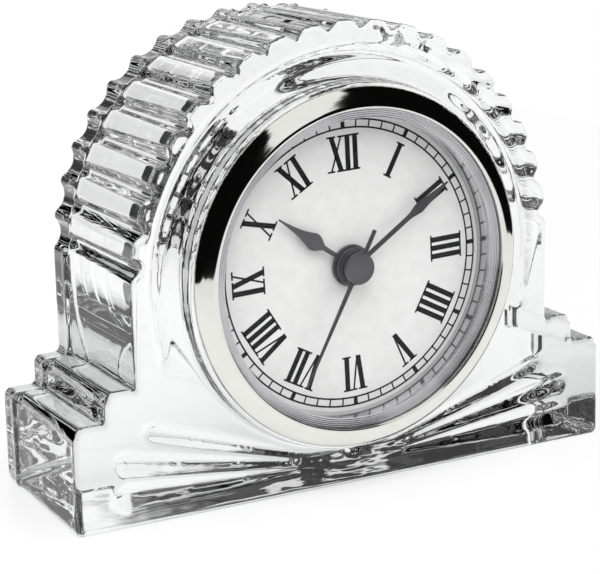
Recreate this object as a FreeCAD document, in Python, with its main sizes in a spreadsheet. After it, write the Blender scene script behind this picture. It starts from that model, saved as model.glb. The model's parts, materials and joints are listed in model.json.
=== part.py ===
import FreeCAD
import Part
import math
import os
import re
import Sketcher

# Pressed glass shelf clock with a ribbed round arch on a stepped base.
# A round quartz insert is pushed into the bore from the front.
#
# Frame: +X to the viewer's right, the dial faces -Y, +Z up.
# Origin: the middle of the glass underside. Lengths are millimetres and angles are degrees.
# A "depth" is measured backward from the flat front face of the glass, so it is
# negative for what stands out in front of that face.

SIZES = {
    # Glass body, overall
    "base_width": 114.0,
    "glass_depth": 38.2,
    "base_height": 19.2,
    "shoulder_setback": 6.4,
    "shoulder_height": 24.8,
    "arch_centre_height": 44.2,
    "arch_radius": 44.4,
    "end_draft": 1.5,
    "top_draft": 0.8,
    "arch_draft": 0.6,
    "foot_bevel": 0.6,
    "step_bevel": 1.0,
    # Ridge left by the mould joint
    "ridge_depth": 32.0,
    "ridge_half_width": 1.6,
    "ridge_height": 0.5,
    # Ribs over the arch
    "notch_count": 20,
    "notch_pitch_angle": 9.0,
    "notch_depth": 1.9,
    "notch_half_width": 2.0,
    "rib_length": 27.4,
    "rib_run_out": 3.0,
    "notch_end_depth": 0.5,
    "scallop_depth": 1.4,
    "scallop_radius": 3.6,
    # Tongue shaped ribs on the two steps of each shoulder
    "tongue_length": 26.0,
    "tongue_lift": 1.2,
    "lower_tongue_inset": 3.3,
    "lower_tongue_half_width": 2.2,
    "upper_tongue_inset": 3.2,
    "upper_tongue_half_width": 2.1,
    "tongue_side_run": 0.8,
    "tongue_round_share": 1.05,
    # Bore, boss and arched groove in the front face
    "dial_centre_height": 42.86,
    "bore_radius": 31.0,
    "boss_radius": 34.8,
    "boss_height": 3.0,
    "groove_inner_radius": 38.3,
    "groove_outer_radius": 41.1,
    "groove_depth": 1.4,
    "groove_leg_half_width": 0.7,
    "groove_leg_depth": 0.8,
    "groove_foot_reach": 38.9,
    "groove_foot_height": 28.0,
    "groove_point_length": 2.4,
    # Fan of leaf shaped cuts at the foot of the front face
    "fan_centre_height": 4.3,
    "fan_start_reach": 1.6,
    "upper_leaf_reach": 43.5,
    "upper_leaf_height": 17.8,
    "upper_leaf_half_width": 2.0,
    "middle_leaf_reach": 49.5,
    "middle_leaf_height": 12.8,
    "middle_leaf_half_width": 2.2,
    "lower_leaf_reach": 49.6,
    "lower_leaf_height": 6.2,
    "lower_leaf_half_width": 2.9,
    "leaf_depth": 1.6,
    "leaf_tip_share": 1.0,
    "leaf_tip_width_share": 0.4,
    "leaf_swell_share": 0.66,
    "leaf_swell_width_share": 0.74,
    "heart_half_width": 3.0,
    "heart_foot_height": 5.6,
    "heart_top_height": 7.8,
    "heart_depth": 0.8,
    # Chrome bezel and lens
    "bezel_radius": 34.1,
    "bezel_crown_height": 2.9,
    "bezel_shoulder_radius": 32.8,
    "bezel_shoulder_height": 2.1,
    "bezel_opening_radius": 30.1,
    "lens_thickness": 1.3,
    "lens_seat_depth": -4.1,
    "trim_clearance": 0.1,
    # Insert case
    "case_radius": 30.4,
    "case_wall": 0.9,
    "case_floor_depth": 14.0,
    "case_floor_thickness": 1.2,
    "pillar_reach": 26.5,
    "pillar_bearing": 35.0,
    "pillar_width": 2.4,
    "grip_front_depth": -2.0,
    "grip_length": 7.0,
    "bore_clearance": 0.09,
    # Dial side
    "dial_radius": 29.4,
    "dial_face_depth": 0.55,
    "dial_thickness": 0.5,
    "chapter_ring_bore_radius": 28.8,
    "plate_radius": 28.6,
    "plate_thickness": 1.0,
    # Hands, seen from the front, clock angles from twelve
    "hand_thickness": 0.3,
    "hour_hand_depth": -0.8,
    "minute_hand_depth": -1.8,
    "second_hand_depth": -2.8,
    "hour_hand_angle": 305.0,
    "minute_hand_angle": 56.0,
    "second_hand_angle": 208.0,
    "hour_hand_reach": 18.6,
    "hour_hand_belly": 9.8,
    "hour_hand_belly_half_width": 1.55,
    "hour_hand_neck_half_width": 0.42,
    "minute_hand_reach": 24.6,
    "minute_hand_belly": 16.6,
    "minute_hand_belly_half_width": 1.2,
    "minute_hand_neck_half_width": 0.42,
    "second_hand_reach": 24.1,
    "second_hand_tail": 7.7,
    "second_hand_tail_half_width": 0.55,
    "second_hand_half_width": 0.3,
    "hand_tip_half_width": 0.12,
    "hour_hub_radius": 4.1,
    "minute_hub_radius": 3.6,
    "second_cap_radius": 3.2,
    "second_cap_height": 0.6,
    "hub_height": 0.5,
    "cap_bevel": 0.2,
    # Outlines of the hands, as shares of the reach to the belly or beyond it
    "hour_neck_share": 0.667,
    "hour_swell_share": 0.833,
    "hour_swell_width_share": 0.75,
    "hour_taper_share": 0.25,
    "hour_taper_width_share": 0.72,
    "hour_point_share": 0.55,
    "hour_point_width_share": 0.3,
    "minute_neck_share": 0.75,
    "minute_swell_share": 0.875,
    "minute_swell_width_share": 0.8,
    "minute_taper_share": 0.4,
    "minute_taper_width_share": 0.7,
    # Arbors and the pipes round them
    "arbor_radius": 0.4,
    "cannon_radius": 1.0,
    "hour_pipe_bore_radius": 1.08,
    "hour_pipe_radius": 1.7,
    "running_clearance": 0.08,
    "axial_clearance": 0.2,
    # Wheel levels, front face of each, and the wheel thickness
    "hour_level_depth": 2.4,
    "minute_level_depth": 3.8,
    "centre_level_depth": 5.4,
    "third_level_depth": 6.8,
    "seconds_level_depth": 8.2,
    "intermediate_level_depth": 9.6,
    "wheel_thickness": 0.8,
    # Tooth form, as shares of the module
    "addendum_share": 0.75,
    "dedendum_share": 1.1,
    "tooth_foot_share": 0.54,
    "tooth_tip_share": 0.2,
    "tooth_overlap_share": 0.25,
    # Numbers of teeth
    "cannon_teeth": 6,
    "minute_wheel_teeth": 18,
    "minute_pinion_teeth": 6,
    "hour_wheel_teeth": 24,
    "knob_pinion_teeth": 6,
    "seconds_pinion_teeth": 6,
    "third_wheel_teeth": 48,
    "third_pinion_teeth": 6,
    "centre_wheel_teeth": 45,
    "seconds_wheel_teeth": 30,
    "intermediate_pinion_teeth": 6,
    "intermediate_wheel_teeth": 36,
    "rotor_pinion_teeth": 6,
    # Arbor places: distance and bearing, anticlockwise from +X as seen from the front
    "minute_arbor_reach": 7.2,
    "minute_arbor_bearing": 300.0,
    "knob_arbor_reach": 7.2,
    "knob_arbor_bearing": 340.0,
    "third_arbor_reach": 10.8,
    "third_arbor_bearing": 150.0,
    "intermediate_arbor_reach": 11.0,
    "intermediate_arbor_bearing": 60.5,
    "rotor_arbor_reach": 8.4,
    "rotor_arbor_bearing": 130.1,
    # Train bridge
    "bridge_depth": 12.5,
    "bridge_thickness": 0.9,
    "bridge_radius": 14.0,
    "bridge_across": -1.5,
    "bridge_rise": 5.5,
    "bridge_screw_reach": 11.2,
    "bridge_screw_bearing": 20.0,
    "bridge_screw_count": 2,
    "bridge_post_width": 3.0,
    "screw_radius": 0.5,
    "screw_head_radius": 1.0,
    "screw_head_height": 0.4,
    # Motor
    "magnet_radius": 2.4,
    "magnet_depth": 10.9,
    "magnet_thickness": 1.2,
    "air_gap": 0.35,
    "stator_depth": 11.1,
    "stator_thickness": 0.8,
    "stator_length": 24.0,
    "stator_margin": 3.4,
    "stator_bridge_height": 0.85,
    "stator_window_length": 18.8,
    "stator_window_height": 2.2,
    "core_height": 1.8,
    "stator_post_inset": 1.3,
    "stator_post_rise": 2.5,
    "stator_post_width": 2.0,
    "coil_length": 16.0,
    "coil_radius": 2.2,
    "bobbin_radius": 2.35,
    "bobbin_wall": 0.35,
    "bobbin_flange_thickness": 0.5,
    "bobbin_slot_clearance": 0.05,
    # Circuit board
    "board_across": -19.5,
    "board_rise": -0.5,
    "board_width": 12.0,
    "board_height": 19.0,
    "board_depth": 10.6,
    "board_thickness": 0.8,
    "board_post_width": 2.0,
    "board_post_inset": 2.0,
    "crystal_radius": 1.0,
    "crystal_length": 6.0,
    "crystal_across": -3.4,
    "chip_radius": 2.4,
    "chip_height": 0.8,
    "chip_rise": 3.0,
    # Battery, its well and its hatch
    "battery_across": -3.0,
    "battery_rise": -18.0,
    "battery_radius": 5.8,
    "battery_thickness": 5.4,
    "battery_front_depth": 8.0,
    "battery_gasket_height": 0.6,
    "well_radius": 6.0,
    "well_wall": 1.4,
    "well_base_thickness": 0.6,
    "contact_thickness": 0.3,
    "contact_width": 2.6,
    "contact_slot_clearance": 0.15,
    "hatch_radius": 7.4,
    "hatch_thickness": 0.8,
    "hatch_clearance": 0.1,
    "plug_clearance": 0.05,
    "hatch_plug_radius": 5.85,
    "hatch_lug_radius": 6.55,
    "hatch_lug_depth": 13.5,
    "hatch_lug_thickness": 0.4,
    "hatch_lug_angle": 30.0,
    "hatch_lug_count": 2,
    "hatch_entry_turn": 60.0,
    "hatch_entry_clearance_angle": 6.0,
    "coin_slot_width": 1.4,
    "coin_slot_length": 9.0,
    "coin_slot_depth": 0.4,
    # Setting knob
    "knob_radius": 5.0,
    "knob_height": 3.0,
    "knob_gap": 0.3,
    "knob_stem_radius": 1.2,
    "knob_flute_count": 12,
    "knob_flute_depth": 0.7,
    "knob_flute_half_width": 0.8,
    # How far a cut runs past the face that it opens
    "cut_overrun": 1.0,
}

document = FreeCAD.newDocument("ShelfClock")
sheet = document.addObject("Spreadsheet::Sheet", "Sizes")
for row, (alias, value) in enumerate(SIZES.items(), start=1):
    sheet.set(f"A{row}", alias)
    sheet.set(f"B{row}", str(value))
    sheet.setAlias(f"B{row}", alias)
scratch = document.addObject("Spreadsheet::Sheet", "Scratch")
document.recompute()


# Formulas

def bound(text):
    """The formula with each of its size names pointing into the sheet."""
    return re.sub(r"\b[a-z]+(?:_[a-z]+)+\b", r"Sizes.\g<0>", text)


def number(text):
    """The present value of a formula, worked out in a cell of the scratch sheet."""
    scratch.set("A1", "=" + bound(text))
    scratch.recompute()
    return float(scratch.get("A1"))


def across(reach, bearing):
    """Formula for how far to the right a polar place lies."""
    return f"({reach} * cos({bearing} * 1deg))"


def rise(reach, bearing):
    """Formula for how high a polar place lies."""
    return f"({reach} * sin({bearing} * 1deg))"


# Derived places, kept as formulas of the sizes above

GLASS_FRONT = "(-glass_depth / 2)"
RIDGE_FRONT_DEPTH = "(ridge_depth - ridge_half_width)"
RIDGE_BACK_DEPTH = "(ridge_depth + ridge_half_width)"
FIRST_NOTCH_TURN = "(90 - notch_pitch_angle * (notch_count - 1) / 2)"
DIAL_BACK_DEPTH = "(dial_face_depth + dial_thickness)"
PLATE_BACK_DEPTH = f"({DIAL_BACK_DEPTH} + plate_thickness)"
CASE_BACK_DEPTH = "(case_floor_depth + case_floor_thickness)"
CASE_BORE = "(case_radius - case_wall)"
GRIP_RADIUS = "(bore_radius - bore_clearance)"
LENS_FRONT_DEPTH = "(lens_seat_depth - lens_thickness)"
BRIDGE_BACK_DEPTH = "(bridge_depth + bridge_thickness)"
STATOR_BACK_DEPTH = "(stator_depth + stator_thickness)"
BOARD_BACK_DEPTH = "(board_depth + board_thickness)"
BATTERY_BACK_DEPTH = "(battery_front_depth + battery_thickness)"
WELL_FRONT_DEPTH = "(battery_front_depth - contact_thickness - well_base_thickness)"
WELL_HALF_WIDTH = "(well_radius + well_wall)"
HATCH_FRONT_DEPTH = f"({CASE_BACK_DEPTH} - hatch_thickness)"
KNOB_FRONT_DEPTH = f"({CASE_BACK_DEPTH} + knob_gap)"

MINUTE_PLACE = (
    across("minute_arbor_reach", "minute_arbor_bearing"),
    rise("minute_arbor_reach", "minute_arbor_bearing"),
)
KNOB_PLACE = (
    f"({MINUTE_PLACE[0]} + {across('knob_arbor_reach', 'knob_arbor_bearing')})",
    f"({MINUTE_PLACE[1]} + {rise('knob_arbor_reach', 'knob_arbor_bearing')})",
)
THIRD_PLACE = (
    across("third_arbor_reach", "third_arbor_bearing"),
    rise("third_arbor_reach", "third_arbor_bearing"),
)
INTERMEDIATE_PLACE = (
    across("intermediate_arbor_reach", "intermediate_arbor_bearing"),
    rise("intermediate_arbor_reach", "intermediate_arbor_bearing"),
)
ROTOR_PLACE = (
    f"({INTERMEDIATE_PLACE[0]} + {across('rotor_arbor_reach', 'rotor_arbor_bearing')})",
    f"({INTERMEDIATE_PLACE[1]} + {rise('rotor_arbor_reach', 'rotor_arbor_bearing')})",
)
SHOULDER_HALF_WIDTH = "(base_width / 2 - shoulder_setback)"
BATTERY_PLACE = ("battery_across", "battery_rise")
BRIDGE_PLACE = ("bridge_across", "bridge_rise")
DIAL_CENTRE = ("0", "0")
POSITIVE_FRONT_DEPTH = "(battery_front_depth + battery_gasket_height + contact_thickness)"
POSITIVE_LENGTH = f"({BOARD_BACK_DEPTH} + contact_thickness - {POSITIVE_FRONT_DEPTH})"


# Building blocks

def new_body(label, place=None):
    """An empty body. With a place, its own Y axis lies on an arbor of the insert."""
    body = document.addObject("PartDesign::Body", label)
    body.Label = label
    body.setExpression("Placement.Base.y", bound(GLASS_FRONT))
    if place is not None:
        body.setExpression("Placement.Base.x", bound(place[0]))
        body.setExpression("Placement.Base.z", bound(f"dial_centre_height + {place[1]}"))
    return body


def origin_piece(body, role):
    """One of the body's own base planes or axes."""
    return [piece for piece in body.Origin.OriginFeatures if piece.Role == role][0]


def new_sketch(body, name, role="XZ_Plane", depth="0", centre=("0", "0"), turn="0"):
    """A sketch. On the XZ plane it lies at a depth behind the front, shifted and turned.
    On the XY plane a depth counts downward."""
    sketch = body.newObject("Sketcher::SketchObject", name)
    sketch.AttachmentSupport = [(origin_piece(body, role), "")]
    sketch.MapMode = "FlatFace"
    shift = {"Base.x": centre[0], "Base.y": centre[1], "Base.z": f"-({depth})"}
    for part_of_offset, text in shift.items():
        sketch.setExpression(f"AttachmentOffset.{part_of_offset}", bound(text))
    sketch.setExpression("AttachmentOffset.Rotation.Angle", bound(turn))
    return sketch


def draw_outline(sketch, corners):
    """Closed outline. A corner (x, y) ends a line and (x, y, radius, side) ends an arc,
    with side 1 where the arc's centre lies to the left of the way and -1 to the right."""
    spots = [FreeCAD.Vector(number(corner[0]), number(corner[1]), 0) for corner in corners]
    ends = []
    for index, corner in enumerate(corners):
        start = spots[index - 1]
        stop = spots[index]
        if len(corner) == 2:
            geometry = sketch.addGeometry(Part.LineSegment(start, stop), False)
            ends.append((geometry, 1, 2))
            continue
        radius = number(corner[2])
        chord = stop - start
        to_centre = math.sqrt(radius ** 2 - (chord.Length / 2) ** 2) / chord.Length
        centre = start + chord * 0.5 + FreeCAD.Vector(-chord.y, chord.x, 0) * to_centre * corner[3]
        first, last = (start, stop) if corner[3] > 0 else (stop, start)
        angles = [math.atan2(spot.y - centre.y, spot.x - centre.x) for spot in (first, last)]
        circle = Part.Circle(centre, FreeCAD.Vector(0, 0, 1), radius)
        geometry = sketch.addGeometry(Part.ArcOfCircle(circle, *angles), False)
        ends.append((geometry, 1, 2) if corner[3] > 0 else (geometry, 2, 1))
        bind(sketch, Sketcher.Constraint("Radius", geometry, radius), corner[2])
    for index, corner in enumerate(corners):
        geometry, _, end = ends[index]
        following, beginning, _ = ends[(index + 1) % len(ends)]
        sketch.addConstraint(Sketcher.Constraint("Coincident", geometry, end, following, beginning))
        spot = spots[index]
        bind(sketch, Sketcher.Constraint("DistanceX", -1, 1, geometry, end, spot.x), corner[0])
        bind(sketch, Sketcher.Constraint("DistanceY", -1, 1, geometry, end, spot.y), corner[1])


def draw_circle(sketch, radius, centre=("0", "0")):
    """Circle about a place in the sketch."""
    middle = FreeCAD.Vector(number(centre[0]), number(centre[1]), 0)
    circle = Part.Circle(middle, FreeCAD.Vector(0, 0, 1), number(radius))
    geometry = sketch.addGeometry(circle, False)
    bind(sketch, Sketcher.Constraint("Radius", geometry, number(radius)), radius)
    bind(sketch, Sketcher.Constraint("DistanceX", -1, 1, geometry, 3, middle.x), centre[0])
    bind(sketch, Sketcher.Constraint("DistanceY", -1, 1, geometry, 3, middle.y), centre[1])


def bind(sketch, constraint, text):
    """Add a constraint whose value follows a formula."""
    index = sketch.addConstraint(constraint)
    sketch.setExpression(f"Constraints[{index}]", bound(text))


def rectangle(left, right, bottom, top):
    """Corners of an upright rectangle."""
    return [(left, bottom), (right, bottom), (right, top), (left, top)]


def square(width, centre=("0", "0")):
    """Corners of a square about a place."""
    half = f"({width} / 2)"
    return rectangle(f"({centre[0]} - {half})", f"({centre[0]} + {half})",
                     f"({centre[1]} - {half})", f"({centre[1]} + {half})")


def polygon(radius, sides):
    """Corners of a regular outline, the first on the sketch's level axis."""
    angles = [f"({index} * 360deg / {sides})" for index in range(int(number(str(sides))))]
    return [(f"({radius} * cos({angle}))", f"({radius} * sin({angle}))") for angle in angles]


def mirrored(corners):
    """The same corners on the other side of the sketch's upright axis, in the same sense."""
    return [(f"-({x})", y) for x, y in reversed(corners)]


def extrude(body, kind, sketch, length, backward=True):
    """Pad or pocket whose sketch lies across the depth, worked backward from it."""
    feature = body.newObject(f"PartDesign::{kind}", f"{sketch.Name}_{kind.lower()}")
    feature.Profile = sketch
    feature.setExpression("Length", bound(length))
    feature.Reversed = backward if kind == "Pad" else not backward
    return feature


def pad_outline(body, name, corners, depth, length, **options):
    """Slab with a drawn outline."""
    sketch = new_sketch(body, name, depth=depth, **options)
    draw_outline(sketch, corners)
    return extrude(body, "Pad", sketch, length)


def pad_disc(body, name, radius, depth, length, centre=("0", "0")):
    """Round disc or post."""
    sketch = new_sketch(body, name, depth=depth)
    draw_circle(sketch, radius, centre)
    return extrude(body, "Pad", sketch, length)


def drill(body, name, radius, depth, length, centre=("0", "0")):
    """Round hole from a depth backward."""
    sketch = new_sketch(body, name, depth=depth)
    draw_circle(sketch, radius, centre)
    return extrude(body, "Pocket", sketch, length)


def cut_outline(body, name, corners, depth, length, **options):
    """Hole or recess with a drawn outline, from a depth backward."""
    sketch = new_sketch(body, name, depth=depth, **options)
    draw_outline(sketch, corners)
    return extrude(body, "Pocket", sketch, length)


def turn_profile(body, name, corners):
    """Turned form about the body's Y axis, from corners of (depth, radius)."""
    sketch = new_sketch(body, name, role="YZ_Plane")
    draw_outline(sketch, corners)
    feature = body.newObject("PartDesign::Revolution", f"{name}_turned")
    feature.Profile = sketch
    feature.ReferenceAxis = y_axis(body)
    feature.Angle = 360
    return feature


def loft(body, kind, name, sections):
    """Ruled solid through sketches, the first of which is its profile."""
    feature = body.newObject(f"PartDesign::{kind}", name)
    feature.Profile = sections[0]
    feature.Sections = sections[1:]
    feature.Ruled = True
    return feature


def ring_of(body, name, feature, axis, count, angle="360"):
    """Copies of a feature spaced round an axis."""
    pattern = body.newObject("PartDesign::PolarPattern", name)
    pattern.Originals = [feature]
    pattern.Axis = axis
    pattern.setExpression("Angle", bound(angle))
    pattern.setExpression("Occurrences", bound(count))
    body.Tip = pattern
    return pattern


def y_axis(body):
    """The body's Y axis, as patterns take it."""
    return (origin_piece(body, "Y_Axis"), [""])


# Toothed pieces

def module_of(reach, teeth, mating_teeth):
    """Module that fills the distance between two arbors."""
    return f"(2 * {reach} / ({teeth} + {mating_teeth}))"


MOTION_MODULE = module_of("minute_arbor_reach", "cannon_teeth", "minute_wheel_teeth")
HOUR_MODULE = module_of("minute_arbor_reach", "minute_pinion_teeth", "hour_wheel_teeth")
SETTING_MODULE = MOTION_MODULE
THIRD_MODULE = module_of("third_arbor_reach", "seconds_pinion_teeth", "third_wheel_teeth")
CENTRE_MODULE = module_of("third_arbor_reach", "third_pinion_teeth", "centre_wheel_teeth")
SECONDS_MODULE = module_of("intermediate_arbor_reach", "seconds_wheel_teeth", "intermediate_pinion_teeth")
ROTOR_MODULE = module_of("rotor_arbor_reach", "intermediate_wheel_teeth", "rotor_pinion_teeth")


def meshed_turn(turn, teeth, bearing, mating_teeth):
    """Turn of the wheel that lies at a bearing from one whose own turn is known."""
    facing = f"({bearing} + 180 + 180 / {mating_teeth})"
    return f"({facing} - ({turn} - {bearing}) * {teeth} / {mating_teeth})"


def add_teeth(body, name, teeth, module, depth, length, turn):
    """Toothed rim: a blank with a side for each gap and one tooth, repeated round the Y axis."""
    pitch_radius = f"({teeth} * {module} / 2)"
    tip_radius = f"({pitch_radius} + addendum_share * {module})"
    root_radius = f"({pitch_radius} - dedendum_share * {module})"
    half_pitch = f"(pi * {module} / 2)"
    blank = polygon(f"({root_radius} / cos(180deg / {teeth}))", teeth)
    pad_outline(body, f"{name}_blank", blank, depth, length, turn=turn)
    tooth = pad_outline(body, f"{name}_tooth", both_edges([
        (f"({root_radius} - tooth_overlap_share * {module})", f"(tooth_foot_share * {half_pitch})"),
        (tip_radius, f"(tooth_tip_share * {half_pitch})"),
    ]), depth, length, turn=turn)
    ring_of(body, f"{name}_teeth", tooth, y_axis(body), teeth)


def both_edges(stations):
    """Outline from stations of (reach, half width) along +X, there and back."""
    lower = [(reach, f"(-{half})") for reach, half in stations]
    upper = [(reach, half) for reach, half in reversed(stations)]
    return lower + upper


def add_arbor(body, name):
    """Rod that turns in the front plate and in the train bridge."""
    front = f"({DIAL_BACK_DEPTH} + axial_clearance)"
    pad_disc(body, name, "arbor_radius", front, f"({BRIDGE_BACK_DEPTH} - axial_clearance - {front})")


# Glass body

def case_section(body, name, depth, swell="0"):
    """Outline of base, shoulders, legs and arch at one depth, narrowed by the mould's draft."""
    share = f"({depth} / glass_depth)"
    ends = f"(end_draft * {share} - {swell})"
    tops = f"(top_draft * {share} - {swell})"
    leg = f"(arch_radius - arch_draft * {share} + {swell})"
    half_width = f"(base_width / 2 - {ends})"
    shoulder = f"({SHOULDER_HALF_WIDTH} - {ends})"
    right = [
        (f"({half_width} - foot_bevel)", "(-cut_overrun)"),
        (f"({half_width} - foot_bevel)", "0"),
        (half_width, "foot_bevel"),
        (half_width, f"(base_height - step_bevel - {tops})"),
        (f"({half_width} - step_bevel)", f"(base_height - {tops})"),
        (shoulder, f"(base_height - {tops})"),
        (shoulder, f"(shoulder_height - step_bevel - {tops})"),
        (f"({shoulder} - step_bevel)", f"(shoulder_height - {tops})"),
        (leg, f"(shoulder_height - {tops})"),
        (leg, "arch_centre_height"),
    ]
    left = mirrored(right)
    crown = ("0", f"(arch_centre_height + {leg})", leg, 1)
    springing = (*left[0], leg, 1)
    sketch = new_sketch(body, name, depth=depth)
    draw_outline(sketch, right + [crown, springing] + left[1:])
    return sketch


def notch_section(body, name, depth, bite):
    """Triangle that cuts one notch of the arch, at the first notch's turn."""
    sketch = new_sketch(body, name, depth=depth, centre=("0", "arch_centre_height"),
                        turn=FIRST_NOTCH_TURN)
    slope = "(notch_half_width / notch_depth)"
    outside = "(arch_radius + cut_overrun)"
    half = f"({slope} * ({bite} + cut_overrun))"
    draw_outline(sketch, [
        (f"(arch_radius - {bite})", "0"),
        (outside, f"(-{half})"),
        (outside, half),
    ])
    return sketch


def cut_to_point(body, name, rim, depth, point, **options):
    """Cut that narrows from a rim in the front face to one point below it."""
    keel = new_sketch(body, f"{name}_keel", depth=depth, **options)
    spot = keel.addGeometry(Part.Point(FreeCAD.Vector(number(point[0]), number(point[1]), 0)), False)
    bind(keel, Sketcher.Constraint("DistanceX", -1, 1, spot, 1, number(point[0])), point[0])
    bind(keel, Sketcher.Constraint("DistanceY", -1, 1, spot, 1, number(point[1])), point[1])
    return loft(body, "SubtractiveLoft", f"{name}_cut", [rim, keel])


def cut_leaf(body, name):
    """Leaf shaped cut on the right, from the fan's centre to a round tip."""
    reach = f"{name}_reach"
    height = f"({name}_height - fan_centre_height)"
    half_width = f"{name}_half_width"
    length = f"sqrt({reach} ^ 2 + {height} ^ 2)"
    belly = f"({length} - leaf_tip_share * {half_width})"
    options = {"centre": ("0", "fan_centre_height"), "turn": f"atan2({height}; {reach})"}
    rim = new_sketch(body, f"{name}_rim", **options)
    draw_outline(rim, both_edges([
        (f"(leaf_swell_share * {length})", f"(leaf_swell_width_share * {half_width})"),
        (belly, half_width),
        (length, f"(leaf_tip_width_share * {half_width})"),
    ]) + [("fan_start_reach", "0")])
    return cut_to_point(body, name, rim, "leaf_depth", (belly, "0"), **options)


def cut_heart(body):
    """Small three sided cut between the upper leaves and the boss."""
    rim = new_sketch(body, "heart_rim")
    draw_outline(rim, [
        ("0", "heart_foot_height"),
        ("heart_half_width", "heart_top_height"),
        ("(-heart_half_width)", "heart_top_height"),
    ])
    middle = "((heart_foot_height + heart_top_height) / 2)"
    cut_to_point(body, "heart", rim, "heart_depth", ("0", middle))


def add_tongue(body, name, step_half_width, step_height):
    """Low rib with a flat top and a round rear end on the right step of a shoulder."""
    sections = []
    levels = (
        ("foot", f"({step_height} - top_draft)", "tongue_side_run"),
        ("crown", f"({step_height} + tongue_lift)", "0"),
    )
    for level, height, spread in levels:
        half = f"({name}_half_width + {spread})"
        inner = f"({step_half_width} - {name}_inset - {half})"
        outer = f"({step_half_width} - {name}_inset + {half})"
        sketch = new_sketch(body, f"{name}_{level}", role="XY_Plane", depth=f"(-{height})")
        draw_outline(sketch, [
            (inner, "0"),
            (outer, "0"),
            (outer, "tongue_length"),
            (inner, "tongue_length", f"(tongue_round_share * {half})", 1),
        ])
        sections.append(sketch)
    document.recompute()
    return loft(body, "AdditiveLoft", f"{name}_rib", sections)


def cut_groove_leg(body, middle):
    """Straight run of the arched groove down the right leg, narrowing to a point."""
    sections = []
    stations = (
        ("top", "dial_centre_height", middle,
         "((groove_outer_radius - groove_inner_radius) / 2)", "groove_depth"),
        ("shin", "(groove_foot_height + groove_point_length)", "groove_foot_reach",
         "groove_leg_half_width", "groove_leg_depth"),
    )
    for station, height, reach, half, bite in stations:
        sketch = new_sketch(body, f"groove_{station}", role="XY_Plane", depth=f"(-{height})")
        draw_outline(sketch, groove_outline(reach, half, bite))
        sections.append(sketch)
    toe = new_sketch(body, "groove_toe", role="XY_Plane", depth="(-groove_foot_height)")
    spot = toe.addGeometry(Part.Point(FreeCAD.Vector(number("groove_foot_reach"), 0, 0)), False)
    bind(toe, Sketcher.Constraint("DistanceX", -1, 1, spot, 1, number("groove_foot_reach")),
         "groove_foot_reach")
    bind(toe, Sketcher.Constraint("DistanceY", -1, 1, spot, 1, 0), "0")
    document.recompute()
    return [
        loft(body, "SubtractiveLoft", "groove_leg", sections),
        loft(body, "SubtractiveLoft", "groove_point", [sections[1], toe]),
    ]


def groove_outline(reach, half, bite):
    """V section of the groove, open to the front."""
    return [
        (f"({reach} - {half})", "0"),
        (reach, bite),
        (f"({reach} + {half})", "0"),
        (f"({reach} + {half})", "(-cut_overrun)"),
        (f"({reach} - {half})", "(-cut_overrun)"),
    ]


def cut_groove_crown(body, middle):
    """V groove that follows the arch over the top."""
    section = new_sketch(body, "groove_crown", role="XY_Plane", depth="(-dial_centre_height)")
    half = "((groove_outer_radius - groove_inner_radius) / 2)"
    draw_outline(section, groove_outline(middle, half, "groove_depth"))
    document.recompute()
    groove = body.newObject("PartDesign::Groove", "groove_over_arch")
    groove.Profile = section
    groove.ReferenceAxis = (section, ["V_Axis"])
    groove.Angle = 180
    groove.Reversed = True
    document.recompute()


def mirror_to_left(body, name, features):
    """The same features on the left hand side."""
    mirror = body.newObject("PartDesign::Mirrored", name)
    mirror.Originals = features
    mirror.MirrorPlane = (origin_piece(body, "YZ_Plane"), [""])
    body.Tip = mirror


def mould_walls(body):
    """Outer walls with their draft, the mould ridge and a flat ground foot."""
    stations = [
        ("front", "0", "0"),
        ("ridge_front", RIDGE_FRONT_DEPTH, "0"),
        ("ridge_crest", "ridge_depth", "ridge_height"),
        ("ridge_back", RIDGE_BACK_DEPTH, "0"),
        ("back", "glass_depth", "0"),
    ]
    walls = [case_section(body, f"wall_{name}", depth, swell) for name, depth, swell in stations]
    document.recompute()
    loft(body, "AdditiveLoft", "moulded_body", walls)
    ground_foot = new_sketch(body, "ground_foot", role="XY_Plane")
    draw_outline(ground_foot, rectangle("(-base_width / 2)", "(base_width / 2)", "(-cut_overrun)",
                                        "(glass_depth + cut_overrun)"))
    extrude(body, "Pocket", ground_foot, "(2 * cut_overrun)")


def cut_ribs(body):
    """V notches over the arch that leave ribs, and round scallops behind them."""
    front_notch = notch_section(body, "notch_front", "-cut_overrun", "notch_depth")
    rear_notch = notch_section(body, "notch_rear", "rib_length", "notch_depth")
    run_out = notch_section(body, "notch_run_out", "(rib_length + rib_run_out)",
                            "(arch_draft + notch_end_depth)")
    document.recompute()
    notch = loft(body, "SubtractiveLoft", "notch", [front_notch, rear_notch, run_out])
    arc = "notch_pitch_angle * (notch_count - 1)"
    ring_of(body, "notches", notch, (front_notch, ["N_Axis"]), "notch_count", arc)
    scallop = new_sketch(body, "scallop", depth=RIDGE_FRONT_DEPTH,
                         centre=("0", "arch_centre_height"), turn=FIRST_NOTCH_TURN)
    draw_circle(scallop, "scallop_radius",
                ("(arch_radius - arch_draft - scallop_depth + scallop_radius)", "0"))
    scallop_cut = extrude(body, "Pocket", scallop, "glass_depth")
    document.recompute()
    ring_of(body, "scallops", scallop_cut, (scallop, ["N_Axis"]), "notch_count", arc)


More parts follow.
